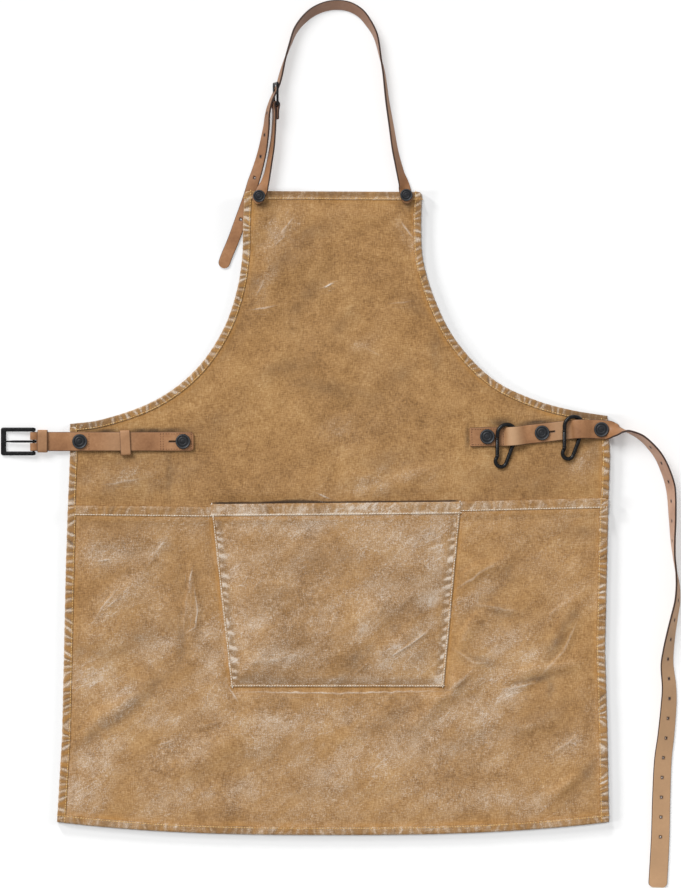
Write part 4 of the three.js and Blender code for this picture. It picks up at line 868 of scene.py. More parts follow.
def skirt_base(x, y):
    """Underside of the skirt: the lap, and its folds where no edge or pocket seam holds it flat."""
    pocket = np.where(inside_pocket(x, y), 0, line_distance(x, y, POCKET_SEWN))
    calm = smoothstep(pocket, 1, 14) * smoothstep(skirt_edge_distance(x, y), 14, 34)
    calm = calm * smoothstep(seam_y(x) - y, LAP_WIDTH, LAP_FOOT + 12)
    height = fold_height(SKIRT_FOLDS, x, y) + crease_height(SKIRT_CREASES, x, y) + wrinkles(x, y, 21)
    return lap_lift(x, y) + calm * height


def pocket_pulls(x, y):
    """Short ridges that run in from the pocket's two sewn sides, one at each pull of the seam."""
    left = line_distance(x, y, POCKET_SEWN[:2])
    right = line_distance(x, y, POCKET_SEWN[2:])
    distance, side = np.minimum(left, right), np.where(left < right, 0.0, 500.0)
    phase = (y + 0.25 * distance) / PULL_PITCH + 0.5 * cloud(y, side, 26, 71)
    number = np.floor(phase) + side
    reach = 7 + 11 * draw(number, 72)
    ridge = bell(phase - np.floor(phase) - 0.5, 0.17) * (0.45 + 0.55 * draw(number, 73))
    return ridge * smoothstep(distance, 0.5, 3) * (1 - smoothstep(distance, 0.35 * reach, reach))


def pocket_base(x, y):
    """Underside of the pocket: on the skirt at its three sewn sides, and standing off it between them."""
    slack = smoothstep(line_distance(x, y, POCKET_SEWN), 0, POCKET_SLACK_REACH)
    hold = smoothstep(line_distance(x, y, POCKET_SEWN), 6, 30)
    shape = POCKET_SLACK + fold_height(POCKET_FOLDS, x, y)
    small = 0.7 * wrinkles(x, y, 31) + crease_height(POCKET_CREASES, x, y)
    return lap_lift(x, y) + CANVAS + GAP + slack * shape + hold * small + 1.1 * pocket_pulls(x, y)


def patches(rows, x, y):
    """Soft oval patches, with an edge broken up by a smooth random field; the strongest one counts."""
    value = np.zeros(np.shape(x))
    for px, py, along, across, turn, strength in rows:
        c, s = np.cos(np.radians(turn)), np.sin(np.radians(turn))
        u, v = (x - px) * c + (y - py) * s, (y - py) * c - (x - px) * s
        value = np.maximum(value, strength * np.exp(-((u / along) ** 2 + (v / across) ** 2)))
    return np.clip(value * (0.85 + 0.4 * cloud(x, y, 14, 41) + 0.3 * cloud(x, y, 6, 42)), 0, 1)


def mouth_shade(x, y):
    """The dark line along the pocket's mouth, thickest left of its middle."""
    share = (x - POCKET_TOP_LEFT[0]) / (POCKET_TOP_RIGHT[0] - POCKET_TOP_LEFT[0])
    mouth = POCKET_TOP_LEFT[1] + share * (POCKET_TOP_RIGHT[1] - POCKET_TOP_LEFT[1])
    thick = 2.2 + 2.2 * bell(x + 60, 30) + 0.4 * cloud(x, 0 * x, 20, 81)
    inside = smoothstep(share, 0.0, 0.03) * (1 - smoothstep(share, 0.97, 1.0))
    return inside * (1 - smoothstep(y - mouth, 0.6 * thick, 1.3 * thick)) * (y > mouth - 6)


def cloth_marks(x, y, height_of, creases, waxed, bloom_and_sheen_rows, oil_and_shade_rows, seam_distance):
    """Where the cloth is white with wax and painted sheen, dark with oil and painted shade, golden beside a
    seam, shaded in a hollow, or creased; hollows get painted shade in both dark marks.
    """
    step = 5.0
    middle = height_of(x, y)
    around = sum(height_of(x + dx, y + dy) for dx, dy in ((step, 0), (-step, 0), (0, step), (0, -step)))
    hollow = around / 4 - middle
    bloom_and_sheen = patches(bloom_and_sheen_rows, x, y) + waxed * (1 + 0.5 * cloud(x, y, 48, 51)) + 0.2 * np.clip(-hollow, 0, 1)
    golden = 0.3 * bell(seam_distance - 1.5, 3.2) + 0.08 * np.exp(-np.abs(seam_distance) / 30)
    crease, crease_wax = crease_marks(creases, x, y)
    return {
        "bloom_and_sheen": np.clip(bloom_and_sheen, 0, 1),
        "oil_and_shade": np.clip(patches(oil_and_shade_rows, x, y) + 0.2 * np.clip(hollow, 0, 1), 0, 0.9),
        "golden": np.clip(golden * (0.8 + 0.5 * cloud(x, y, 22, 52)), 0, 1),
        "shade": np.clip(0.3 * np.clip(hollow, 0, 1), 0, 0.4),
        "crease": crease,
        "crease_wax": crease_wax,
    }


def cloth_panel(name, node, x, y, height_of, marks):
    """A canvas wall over a grid of places, with its marks on both faces."""
    base = height_of(x, y)
    points, faces = walled_sheet(np.stack([x, y, base + CANVAS], -1), np.stack([x, y, base + 0.05], -1))
    both = {mark: np.concatenate([values.ravel(), values.ravel()]) for mark, values in marks.items()}
    return add_piece(name, points, faces, CANVAS_FINISH, both, nodes=[node])


def between(left, right, count):
    """A grid whose rows run straight from the left line's places to the right line's."""
    share = np.linspace(0, 1, count)[:, None, None]
    return np.moveaxis(left * (1 - share) + right * share, -1, 0)


def inset_line(line, distance, side):
    """A line moved sideways, to the right of its own direction for side 1 and to the left for -1."""
    return line + distance * side * right_of(directions(line))


def bib_cloth():
    """Rows run from the left edge to the right one, each edge being a side and an armhole by its length.
    They lie closer along the pocket's mouth."""
    close = np.linspace(0, 34, 30)
    def edge(arm, side_of, side):
        inner = inset_line(arm, PANEL_INSET, side)
        corner = side_of(arm[0, 1]) + side * PANEL_INSET
        inner = inner[(inner[:, 0] - corner) * side > 0]
        inner = inner[inner[:, 1] < arm[-1, 1] - PANEL_INSET]
        heights = np.linspace(seam_y(arm[0, 0]) - LAP_WIDTH, inner[0, 1], 40)[:-1]
        line = np.vstack([np.stack([side_of(heights) + side * PANEL_INSET, heights], 1), inner])
        s = lengths_along(line)
        at = np.concatenate([close, np.linspace(close[-1], s[-1], 156)[1:]])
        return np.stack([np.interp(at, s, line[:, 0]), np.interp(at, s, line[:, 1])], 1)
    x, y = between(edge(LEFT_ARM, left_side, 1), edge(RIGHT_ARM, right_side, -1), 240)
    distance = bib_edge_distance(x, y) - BIB_HEM
    marks = cloth_marks(x, y, bib_base, BIB_CREASES, BIB_WAX_AND_SHEEN, BLOOM_AND_SHEEN_PATCHES, OIL_AND_SHADE_PATCHES, distance)
    marks["shade"] = np.clip(marks["shade"] + patches(SHADE_PATCHES, x, y) + mouth_shade(x, y), 0, 0.95)
    return cloth_panel("bib_cloth", "bib_panel", x, y, bib_base, marks)


def skirt_cloth():
    """Rows run from side to side, spread evenly between the bowed hem and the waist seam."""
    u, v = np.meshgrid(np.linspace(0, 1, 264), np.linspace(0, 1, 172), indexing="ij")
    height = HEM_LINE + v * (seam_y(0) - HEM_LINE)
    left, right = left_side(height) + PANEL_INSET, right_side(height) - PANEL_INSET
    x = left + u * (right - left)
    low = hem_y(x) + PANEL_INSET
    y = low + v * (seam_y(x) - 0.6 - low)
    edge = skirt_edge_distance(x, y) - SKIRT_HEM
    lap = seam_y(x) - LAP_WIDTH - y
    sewn = line_distance(x, y, POCKET_SEWN)
    distance = np.minimum(np.minimum(np.abs(edge), np.abs(lap)), sewn)
    marks = cloth_marks(x, y, skirt_base, SKIRT_CREASES, SKIRT_WAX_AND_SHEEN, BLOOM_AND_SHEEN_PATCHES, OIL_AND_SHADE_PATCHES, distance)
    marks["golden"] = np.clip(marks["golden"] + 0.4 * bell(sewn, 3), 0, 1)
    return cloth_panel("skirt_cloth", "skirt_panel", x, y, skirt_base, marks)


def pocket_cloth():
    """Rows run from the left sewn side to the right one."""
    share = np.linspace(0.012, 0.985, 124)[:, None]
    left = POCKET_LOW_LEFT + share * (POCKET_TOP_LEFT - POCKET_LOW_LEFT) + [1.5, 0]
    right = POCKET_LOW_RIGHT + share * (POCKET_TOP_RIGHT - POCKET_LOW_RIGHT) - [1.5, 0]
    x, y = between(left, right, 170)
    sewn = line_distance(x, y, POCKET_SEWN)
    marks = cloth_marks(x, y, pocket_base, POCKET_CREASES, POCKET_WAX_AND_SHEEN, POCKET_PATCHES, POCKET_OIL_AND_SHADE, sewn + 3)
    pulls = pocket_pulls(x, y)
    # Painted shade darkens the cloth between the pulls near the sewn sides, and the pulls are whiter.
    between_pulls = (1 - smoothstep(sewn, 6, 16)) * np.clip(0.4 - pulls, 0, 1)
    below_hem = POCKET_TOP_LEFT[1] - POCKET_HEM - y
    marks["bloom_and_sheen"] = np.clip(marks["bloom_and_sheen"] + 2.2 * pulls, 0, 1)
    marks["oil_and_shade"] = np.clip(marks["oil_and_shade"] + 1.5 * between_pulls, 0, 0.9)
    marks["golden"] = np.clip(marks["golden"] + 0.6 * bell(below_hem - 2, 2.5), 0, 1)
    return cloth_panel("pocket_cloth", "front_pocket", x, y, pocket_base, marks)


# Cloth: hems and thread


def puckers(s, q, pitch, seed):
    """Narrow ridges across a hem, jittered along it and leaning by turns to either side. Gives the place
    within one pucker, from 0 to 1 with the ridge at a half, and the pucker's number."""
    lean = 0.7 * cloud(s, 0 * s, 14, seed + 8)
    phase = (s + lean * q) / pitch + 0.28 * cloud(s, 0 * s, 19, seed) + 0.08 * cloud(s, 0 * s, 7, seed + 1)
    return phase - np.floor(phase), np.floor(phase)


def hem_band(name, line, inward, width, base_of, rise, seed, pucker, pitch, grey, cord, rounds=(0, 0),
             shaded_start=0.0, browned=0.0):
    """A turned hem: a flat-bottomed profile with round shoulders and a sunk stitch line, carried along an
    edge, with narrow puckers that raise its crown and push its outer edge out and in. The outer edge is pale
    from rubbing and draws in round a corner at an end that has a radius. Each pucker's ridge is white, partly
    with wax and partly as a painted highlight, with painted shade on its flanks, and the brown oval between
    two ridges is darkened partly by painted shade. A cord is a white and golden waxy line painted along the
    stitch line, with no ridge under it. A shaded start is flat and darkened by painted shade, and a browned
    hem is dark on its outer half."""
    line = respaced(line, BAND_STEP)
    side = inward * right_of(directions(line))
    upper = [1.0, 0.96, 0.92, 0.87, 0.8, 0.7, 0.58, 0.46, 0.34, 0.22, 0.12, 0.04, 0.0]
    under = [0.0, 0.12, 0.6, 0.96]
    share = np.array(upper + under)
    is_top = np.arange(len(share)) < len(upper)
    s = lengths_along(line)[:, None] + 0 * share
    q = share * width
    from_row = width - q - STITCH_INSET
    pull = round_off(s, rounds[0]) + round_off(s[-1:] - s, rounds[1])
    # A shaded start is darkened by painted shade over its first stretch, where its puckers flatten.
    start_shade = shaded_start * (1 - smoothstep(s, 25, 90))
    outer_half = browned * (1 - smoothstep(share, 0.35, 0.75)) * (1 + 0.5 * cloud(s, q, 9, seed + 9))
    pucker = pucker * (1 - 0.85 * start_shade)
    within, number = puckers(s, q, pitch, seed)
    lit, dark_draw, tone = draw(number, seed + 3), draw(number, seed + 4), draw(number, seed + 5)
    # A ridge's white, scaled by lit, is partly wax and partly a painted highlight; dark marks painted shade
    # on its flanks.
    ridge = bell(within - 0.5, 0.17) * (0.5 + 0.5 * lit)
    dark = bell(within - 0.7, 0.09) + 0.6 * bell(within - 0.3, 0.08)
    oval = np.sin(np.pi * (within + 0.5)) ** 2
    window = np.sin(np.pi * share) ** 0.6
    edge_push = pucker * 0.6 * (oval - 0.5) * np.exp(-q / 3) * is_top - pull * (1 - share)
    x = line[:, :1] + side[:, :1] * (q - edge_push)
    y = line[:, 1:] + side[:, 1:] * (q - edge_push)
    shoulder = np.sqrt(np.clip(1 - (1 - np.clip(q / 2.6, 0, 1)) ** 2, 0, 1))
    inner = smoothstep(width - q, 0, 1.0)
    crown = (CANVAS + rise * inner) * (0.3 + 0.7 * shoulder) - 0.3 * bell(from_row, 0.6)
    crown = crown + pucker * window * (0.75 * ridge + 0.35 * oval - 0.3 * dark)
    crown = crown + 0.2 * cloud(s, q, 5, seed + 2) * window
    fade = np.minimum(1, np.minimum(s, s[-1:] - s) / 2 + 0.35)
    z = base_of(x, y) + np.where(is_top, np.maximum(crown * fade, 0.15), 0.02)
    strength = np.minimum(1, pucker / 0.7)
    on_top = is_top * (0.3 + 0.7 * window)
    at_cord = cord * bell(from_row, 1.5) * (0.7 + 0.6 * cloud(s, 0 * s, 6, seed + 7))
    film = grey * (1 + 0.9 * cloud(s, 2 * q, 13, seed + 6))
    rubbed_edge = 0.4 * strength * np.exp(-q / 1.1) * is_top
    # Painted shade: how dark a pucker's flanks and oval are, drawn at random for each pucker.
    pucker_shade = strength * (0.3 + 0.5 * dark_draw)
    marks = {
        "bloom_and_sheen": np.clip(strength * ridge * on_top + film + at_cord + rubbed_edge, 0, 1),
        "golden": np.clip(strength * (0.1 + 0.5 * tone) * oval + 0.5 * at_cord, 0, 0.8),
        "oil_and_shade": np.clip(pucker_shade * oval + 0.3 * (grey > 0.1) * dark_draw + start_shade + outer_half, 0, 0.9),
        "shade": np.clip(pucker_shade * dark * on_top, 0, 0.7),
    }
    marks = {mark: drawn_in(values[..., None]) for mark, values in marks.items()}
    return add_grid(name, drawn_in(np.stack([x, y, z], -1)), CANVAS_FINISH, marks)


def stitch_run(name, places, along, up, finish, seed, length=STITCH_LENGTH, radius=STITCH_RADIUS):
    """Thread stitches: one short spindle at each place, all joined in one mesh."""
    rng = np.random.default_rng(seed)
    along = unit(along)
    side = unit(np.cross(up, along))
    up = np.cross(along, side)
    turn = rng.uniform(-0.16, 0.16, len(places))[:, None]
    along, side = along * np.cos(turn) + side * np.sin(turn), side * np.cos(turn) - along * np.sin(turn)
    angle = np.linspace(0, 2 * np.pi, 6, endpoint=False)
    lift = np.array([-0.5, -0.34, 0.0, 0.34, 0.5])
    swell = np.array([0.05, 0.85, 1.0, 0.85, 0.05])
    size = rng.uniform(0.85, 1.12, len(places))[:, None, None, None]
    a = (lift * length)[None, :, None, None] * along[:, None, None, :]
    ring = radius * swell[:, None]
    b = (ring * np.cos(angle))[None, :, :, None] * side[:, None, None, :]
    c = (ring * np.sin(angle))[None, :, :, None] * up[:, None, None, :]
    points = places[:, None, None, :] + size * (a + b + c)
    n, m = len(lift), len(angle)
    faces = carried(n, m)[None] + (np.arange(len(places)) * n * m)[:, None, None]
    return add_piece(name, points.reshape(-1, 3), faces.reshape(-1, 4), finish)


def seam_stitches(name, line, height_of, finish, seed):
    """Stitches along a line on the cloth, lying along it at the cloth's height."""
    line = respaced(line, STITCH_PITCH)
    places = np.column_stack([line, height_of(line[:, 0], line[:, 1])])
    along = np.gradient(places, axis=0)
    return stitch_run(name, places, along, np.broadcast_to([0.0, 0, 1], along.shape), finish, seed)


def sewn_hem(panel, place, line, inward, width, base_of, rise, finish, seed, *look):
    """A hem band and the stitch row inside it."""
    band = hem_band(f"{panel}_hem_{place}", line, inward, width, base_of, rise, seed, *look)
    row = inset_line(respaced(line, ROW_STEP), width - STITCH_INSET, inward)
    height = lambda x, y: base_of(x, y) + CANVAS + rise - STITCH_SINK
    return [band, seam_stitches(f"{panel}_stitches_{place}", row, height, finish, seed + 7)]


def side_line(side_of, low, high, count=60):
    """Places up one side of the apron."""
    heights = np.linspace(low, high, count)
    return np.stack([side_of(heights), heights], 1)


def straight(first, last, count=80):
    """Even places on a straight line."""
    share = np.linspace(0, 1, count)[:, None]
    return np.asarray(first) * (1 - share) + np.asarray(last) * share


def bib_hems():
    """Turned hems down the sides, round the armholes and along the top."""
    left = side_line(left_side, SEAM[0, 1] - 1, LEFT_ARM[0, 1] - 3)
    right = side_line(right_side, SEAM[-1, 1] - 1, RIGHT_ARM[0, 1] - 3)
    top = straight(LEFT_ARM[-1], RIGHT_ARM[-1])
    square, one_round, both_round = (0, 0), (0, CORNER_ROUND), (CORNER_ROUND, CORNER_ROUND)
    # Place, line, inward side, width, seed, pucker, pitch, film, cord, rounds, shaded start, browned
    hems = [
        ("left_side", left, 1, BIB_HEM, 101, 0.8, 12, 0.05, 0, square, 0, 0.1),
        ("right_side", right, -1, BIB_HEM, 111, 0.8, 13, 0.05, 0, square, 0, 0.1),
        ("left_armhole", LEFT_ARM, 1, BIB_HEM, 121, 0.65, 9.6, 0.05, 0.1, one_round, 0.7, 0.1),
        ("right_armhole", RIGHT_ARM, -1, BIB_HEM, 131, 0.65, 9.6, 0.05, 0.2, one_round, 1, 0.1),
        ("top", top, 1, TOP_HEM, 141, 0.15, 11, 0.08, 0.5, both_round, 0, 0.6),
    ]
    made = []
    for place, line, inward, width, seed, *look in hems:
        made += sewn_hem("bib", place, line, inward, width, bib_lift, HEM_RISE, GOLD_THREAD, seed, *look)
    return made


def skirt_hems():
    """Turned hems down the sides and along the bottom, and the band of the waist seam."""
    rise = HEM_RISE * 0.85
    across = np.linspace(SIDES[0, 1], SIDES[0, 2], 200)
    bottom = np.stack([across, hem_y(across)], 1)
    seam = np.stack([across, seam_y(across)], 1)
    seam = seam[(across > left_side(-78) + 0.5) & (across < right_side(-70) - 0.5)]
    left = side_line(left_side, HEM_LINE + 2, SEAM[0, 1] - 1, 120)
    right = side_line(right_side, HEM_LINE + 2, SEAM[-1, 1] - 1, 120)
    flat = lambda x, y: 0 * x
    # Place, line, inward side, width, height of the ground, thread, seed, pucker, pitch, film, cord
    hems = [
        ("left_side", left, 1, SKIRT_HEM, lap_lift, GOLD_THREAD, 201, 0.8, 10.5, 0.05, 0.0),
        ("right_side", right, -1, SKIRT_HEM, lap_lift, GOLD_THREAD, 211, 0.8, 9.5, 0.08, 0.1),
        ("bottom", bottom, -1, SKIRT_HEM - 1, flat, GOLD_THREAD, 221, 0.3, 12, 0.16, 0.1),
        ("waist", seam, 1, LAP_WIDTH, lap_lift, PALE_THREAD, 231, 0.2, 12, 0.2, 0.1),
    ]
    made = []
    for place, line, inward, width, ground, finish, seed, *look in hems:
        made += sewn_hem("skirt", place, line, inward, width, ground, rise, finish, seed, *look)
    return made


def pocket_hems():
    """The pocket's turned top hem and the corded edge of its three sewn sides."""
    top_left, top_right = POCKET_TOP_LEFT + [0.5, 0], POCKET_TOP_RIGHT - [0.5, 0]
    # Width, rise, pucker, pitch, film, cord
    sewn = (POCKET_EDGE, 0.45, 0.1, 14, 0.3, 0.0)
    turned = (POCKET_HEM, HEM_RISE, 0.25, 14, 0.34, 0.9)
    # Place, first end, last end, inward side, seed, then the numbers above
    edges = [
        ("left", POCKET_LOW_LEFT, POCKET_TOP_LEFT, 1, 301, *sewn),
        ("right", POCKET_LOW_RIGHT, POCKET_TOP_RIGHT, -1, 311, *sewn),
        ("bottom", POCKET_LOW_LEFT, POCKET_LOW_RIGHT, -1, 321, *sewn),
        ("top", top_left, top_right, 1, 331, *turned),
    ]
    made = []
    for place, first, last, inward, seed, width, rise, *look in edges:
        line = straight(first, last)
        made += sewn_hem("pocket", place, line, inward, width, pocket_base, rise, PALE_THREAD, seed, *look)
    return made


# Leather


class Route:
    """A strap's middle line, with its directions along, across and out of the grain side at any length."""

    def __init__(self, places, rolls, given, width, thick):
        per_span = 60
        self.width, self.thick = width, thick
        self.line = smooth_curve(places, per_span)
        self.s = lengths_along(self.line)
        self.length = self.s[-1]
        self.tangent = directions(self.line)
        self.row_s = self.s[::per_span]
        along = self.tangent[::per_span]
        level = unit(np.cross([0.0, 0, 1], along))
        turn = np.radians(np.nan_to_num(rolls))[:, None]
        rolled = level * np.cos(turn) + np.cross(along, level) * np.sin(turn)
        rows = np.where(np.isnan(rolls)[:, None], given, rolled)
        share = np.arange(len(self.line)) / per_span
        self.across = np.stack([np.interp(share, np.arange(len(rows)), column) for column in rows.T], 1)

    def frames(self, s):
        """Places and the three directions at the lengths s, an array of any shape."""
        pick = lambda columns: np.stack([np.interp(s, self.s, column) for column in columns.T], -1)
        along = unit(pick(self.tangent))
        across = pick(self.across)
        across = unit(across - along * (across * along).sum(-1, keepdims=True))
        return pick(self.line), along, across, np.cross(along, across)

    def nearest(self, x, y):
        return self.s[np.argmin(np.hypot(self.line[:, 0] - x, self.line[:, 1] - y))]


def rolled_rows(rows, width, thick):
    """Places, rolls and empty given directions of table rows, with each standing row set on the table."""
    places, rolls = [], []
    for x, y, *z, roll in rows:
        turn = np.radians(roll)
        standing = width / 2 * abs(np.sin(turn)) + thick / 2 * abs(np.cos(turn)) + TABLE_ROOM
        places.append((x, y, z[0] if z else standing))
        rolls.append(roll)
    return np.array(places), np.array(rolls, float), np.full((len(rows), 3), np.nan)


def given_rows(places, across):
    """Places that all have the same direction across."""
    places = np.array(places, float)
    return places, np.full(len(places), np.nan), np.broadcast_to(np.asarray(across, float), places.shape)


def joined_rows(*parts):
    """Several stretches of a route, one after the other."""
    return [np.concatenate(columns) for columns in zip(*parts)]


LEAN = np.radians(NECK_LEAN)
NECK_FRONT = np.array([-np.cos(LEAN), 0, np.sin(LEAN)])
NECK_SIDE = np.array([np.sin(LEAN), 0, np.cos(LEAN)])


def at_neck_buckle(u, n):
    """A place near the neck buckle: u runs from its bar towards the loop, n out of its front."""
    return NECK_BAR + np.array([0, u, 0]) + n * NECK_FRONT


def bar_turn(place_at, thick):
    """Half a turn of a strap round a buckle's bar."""
    radius = BAR_RADIUS + GAP + thick / 2
    return [place_at(radius * np.cos(a), radius * np.sin(a)) for a in BAR_ANGLES]


def neck_long_route():
    """From the right button round the neck, through the buckle and down behind the bib's corner."""
    thread_rows = given_rows([at_neck_buckle(u, n) for u, n in NECK_THREAD], NECK_SIDE)
    start = rolled_rows(NECK_LONG_START, NECK_WIDTH, NECK_THICK)
    tail = rolled_rows(NECK_LONG_TAIL, NECK_WIDTH, NECK_THICK)
    return Route(*joined_rows(start, thread_rows, tail), NECK_WIDTH, NECK_THICK)


def neck_short_route():
    """From the left button up to the neck buckle, round its bar and back."""
    fold = [
        at_neck_buckle(-NECK_FOLD_PINCH, NECK_FOLD_SIDE),
        at_neck_buckle(-NECK_FOLD_PINCH / 2, NECK_FOLD_SPREAD),
        *bar_turn(at_neck_buckle, NECK_THICK),
        at_neck_buckle(-NECK_FOLD_PINCH / 2, -NECK_FOLD_SPREAD),
        at_neck_buckle(-NECK_FOLD_TAIL, -NECK_FOLD_SIDE),
    ]
    start = rolled_rows(NECK_SHORT_START, NECK_WIDTH, NECK_THICK)
    return Route(*joined_rows(start, given_rows(fold, -NECK_SIDE)), NECK_WIDTH, NECK_THICK)


def waist_left_route():
    """From the bib out to the waist buckle, round its bar and back below."""
    row = lambda x, z: (x, WAIST_BAR[1], z)
    turn = bar_turn(lambda u, n: WAIST_BAR + np.array([-u, 0, n]), WAIST_THICK)
    places = [row(*r) for r in WAIST_LEFT_TOP] + turn + [row(*r) for r in WAIST_LEFT_UNDER]
    return Route(*given_rows(places, (0, -1, 0)), WAIST_WIDTH, WAIST_THICK)


def waist_right_route():
    """Through the two snap hooks and down the apron's right side."""
    return Route(*rolled_rows(WAIST_RIGHT, WAIST_WIDTH, WAIST_THICK), WAIST_WIDTH, WAIST_THICK)


def round_off(from_end, radius):
    """How much a rounded end takes off a strap's half width."""
    inside = np.clip(radius - from_end, 0, radius)
    return radius - np.sqrt(radius * radius - inside * inside)


def strap_stations(length, start_round, end_round, first_hole, step):
    """Lengths along a strap: an even step that falls on the holes, and closer places round the two ends."""
    count = int(length / step) + 2
    even = first_hole + step * np.arange(-count, count)
    even = even[(even > start_round + step / 2) & (even < length - end_round - step / 2)]
    bend = 1 - np.cos(np.linspace(0, np.pi / 2, 9))
    return np.concatenate([start_round * bend, even, length - end_round * bend[::-1]])


def strap(name, node, route, start_round, end_round, holes=(), pitch=None, slits=(), slots=(), pale=None,
          dull=0.0):
    """A strip of leather with rounded edges along a route. A hole is a block of cells taken out of the
    grid, with the block's rim drawn on to a circle. A slit is one pair of cells wide with its rim drawn
    together, and a slot is a longer block with straight sides. The dull mark swells to the strap's
    middle."""
    step = LEATHER_CELL if pitch is None else pitch / round(pitch / LEATHER_CELL)
    half = route.width / 2
    first = holes[0] if len(holes) else 0.0
    s = strap_stations(route.length, start_round, end_round, first, step)
    flat_part = np.arange(0, half - 1.5, LEATHER_CELL)
    positive = np.concatenate([flat_part[1:], half - np.array([0.9, 0.55, 0.25, 0.0])])
    y = np.concatenate([-positive[::-1], [0.0], positive])
    centre = len(positive)
    along = np.repeat(s[:, None], len(y), 1)
    across = np.repeat(y[None, :], len(s), 0)
    cut = np.zeros((len(s) - 1, len(y) - 1), bool)
    rim = np.zeros(along.shape)
    for hole in holes:
        i = np.argmin(np.abs(s - hole))
        cut[i - 2:i + 2, centre - 2:centre + 2] = True
        di, dj = np.meshgrid(np.arange(-2, 3), np.arange(-2, 3), indexing="ij")
        reach = np.maximum(np.hypot(di, dj), 1)
        block = np.s_[i - 2:i + 3, centre - 2:centre + 3]
        along[block] = s[i] + HOLE_RADIUS * di / reach
        across[block] = HOLE_RADIUS * dj / reach
        rim[block] = 1
    for start, end in slits:
        i, k = np.sort([np.argmin(np.abs(s - start)), np.argmin(np.abs(s - end))])
        cut[i:k, centre - 1:centre + 1] = True
        across[i:k + 1, centre - 1] = -0.5
        across[i:k + 1, centre + 1] = 0.5
        rim[i:k + 1, centre - 1:centre + 2] = 1
    for start, end, width in slots:
        reach = int(round(width / 2 / LEATHER_CELL))
        cut[np.argmin(np.abs(s - start)):np.argmin(np.abs(s - end)), centre - reach:centre + reach] = True
    inner_half = half - round_off(along, start_round) - round_off(route.length - along, end_round)
    from_edge = half - np.abs(across)
    full = np.sqrt(1 - 0.8 * (1 - np.clip(from_edge / EDGE_ROUND, 0, 1)) ** 2)
    place, _, over, up = route.frames(along)
    body = place + over * (across * inner_half / half)[..., None]
    lift = up * (full * route.thick / 2)[..., None]
    points, faces = walled_sheet(body + lift, body - lift, cut)
    edge = np.maximum(1 - smoothstep(from_edge, 0.2, 0.85), rim).ravel()
    marks = {
        "edge": np.concatenate([edge, edge]),
        "flesh": np.concatenate([np.zeros(edge.size), np.ones(edge.size)]),
        "pale": np.tile((pale(along) if pale else 0 * along).ravel(), 2),
        "dull": np.tile(dull * np.sin(np.pi * np.clip(along / route.length, 0, 1)).ravel() ** 2, 2),
    }
    weld = start_round >= half or end_round >= half
    return add_piece(name, points, faces, LEATHER_FINISH, marks, nodes=[node], weld=weld)


def sewing(name, route, s, y, crosswise, seed):
    """Stitches on a strap's grain side at lengths s and places y across, lying across the strap or along
    it."""
    s, y = np.broadcast_arrays(s, y)
    place, along, across, up = route.frames(s)
    places = place + across * y[:, None] + up * (route.thick / 2 + 0.05)
    heading = across if crosswise else along
    return stitch_run(name, places, heading, up, BROWN_THREAD, seed, SEWING_LENGTH, SEWING_RADIUS)


def cross_stitches(name, route, s, seed):
    """A row of stitches from edge to edge of a strap."""
    half = route.width / 2 - CROSS_INSET
    return sewing(name, route, s, np.linspace(-half, half, int(2 * half / SEWING_PITCH) + 1), True, seed)


def edge_stitches(name, route, start, end, side, seed):
    """A row of stitches along one edge of a strap."""
    s = np.linspace(start, end, max(2, int(abs(end - start) / SEWING_PITCH)))
    return sewing(name, route, s, side * (route.width / 2 - EDGE_INSET), False, seed)


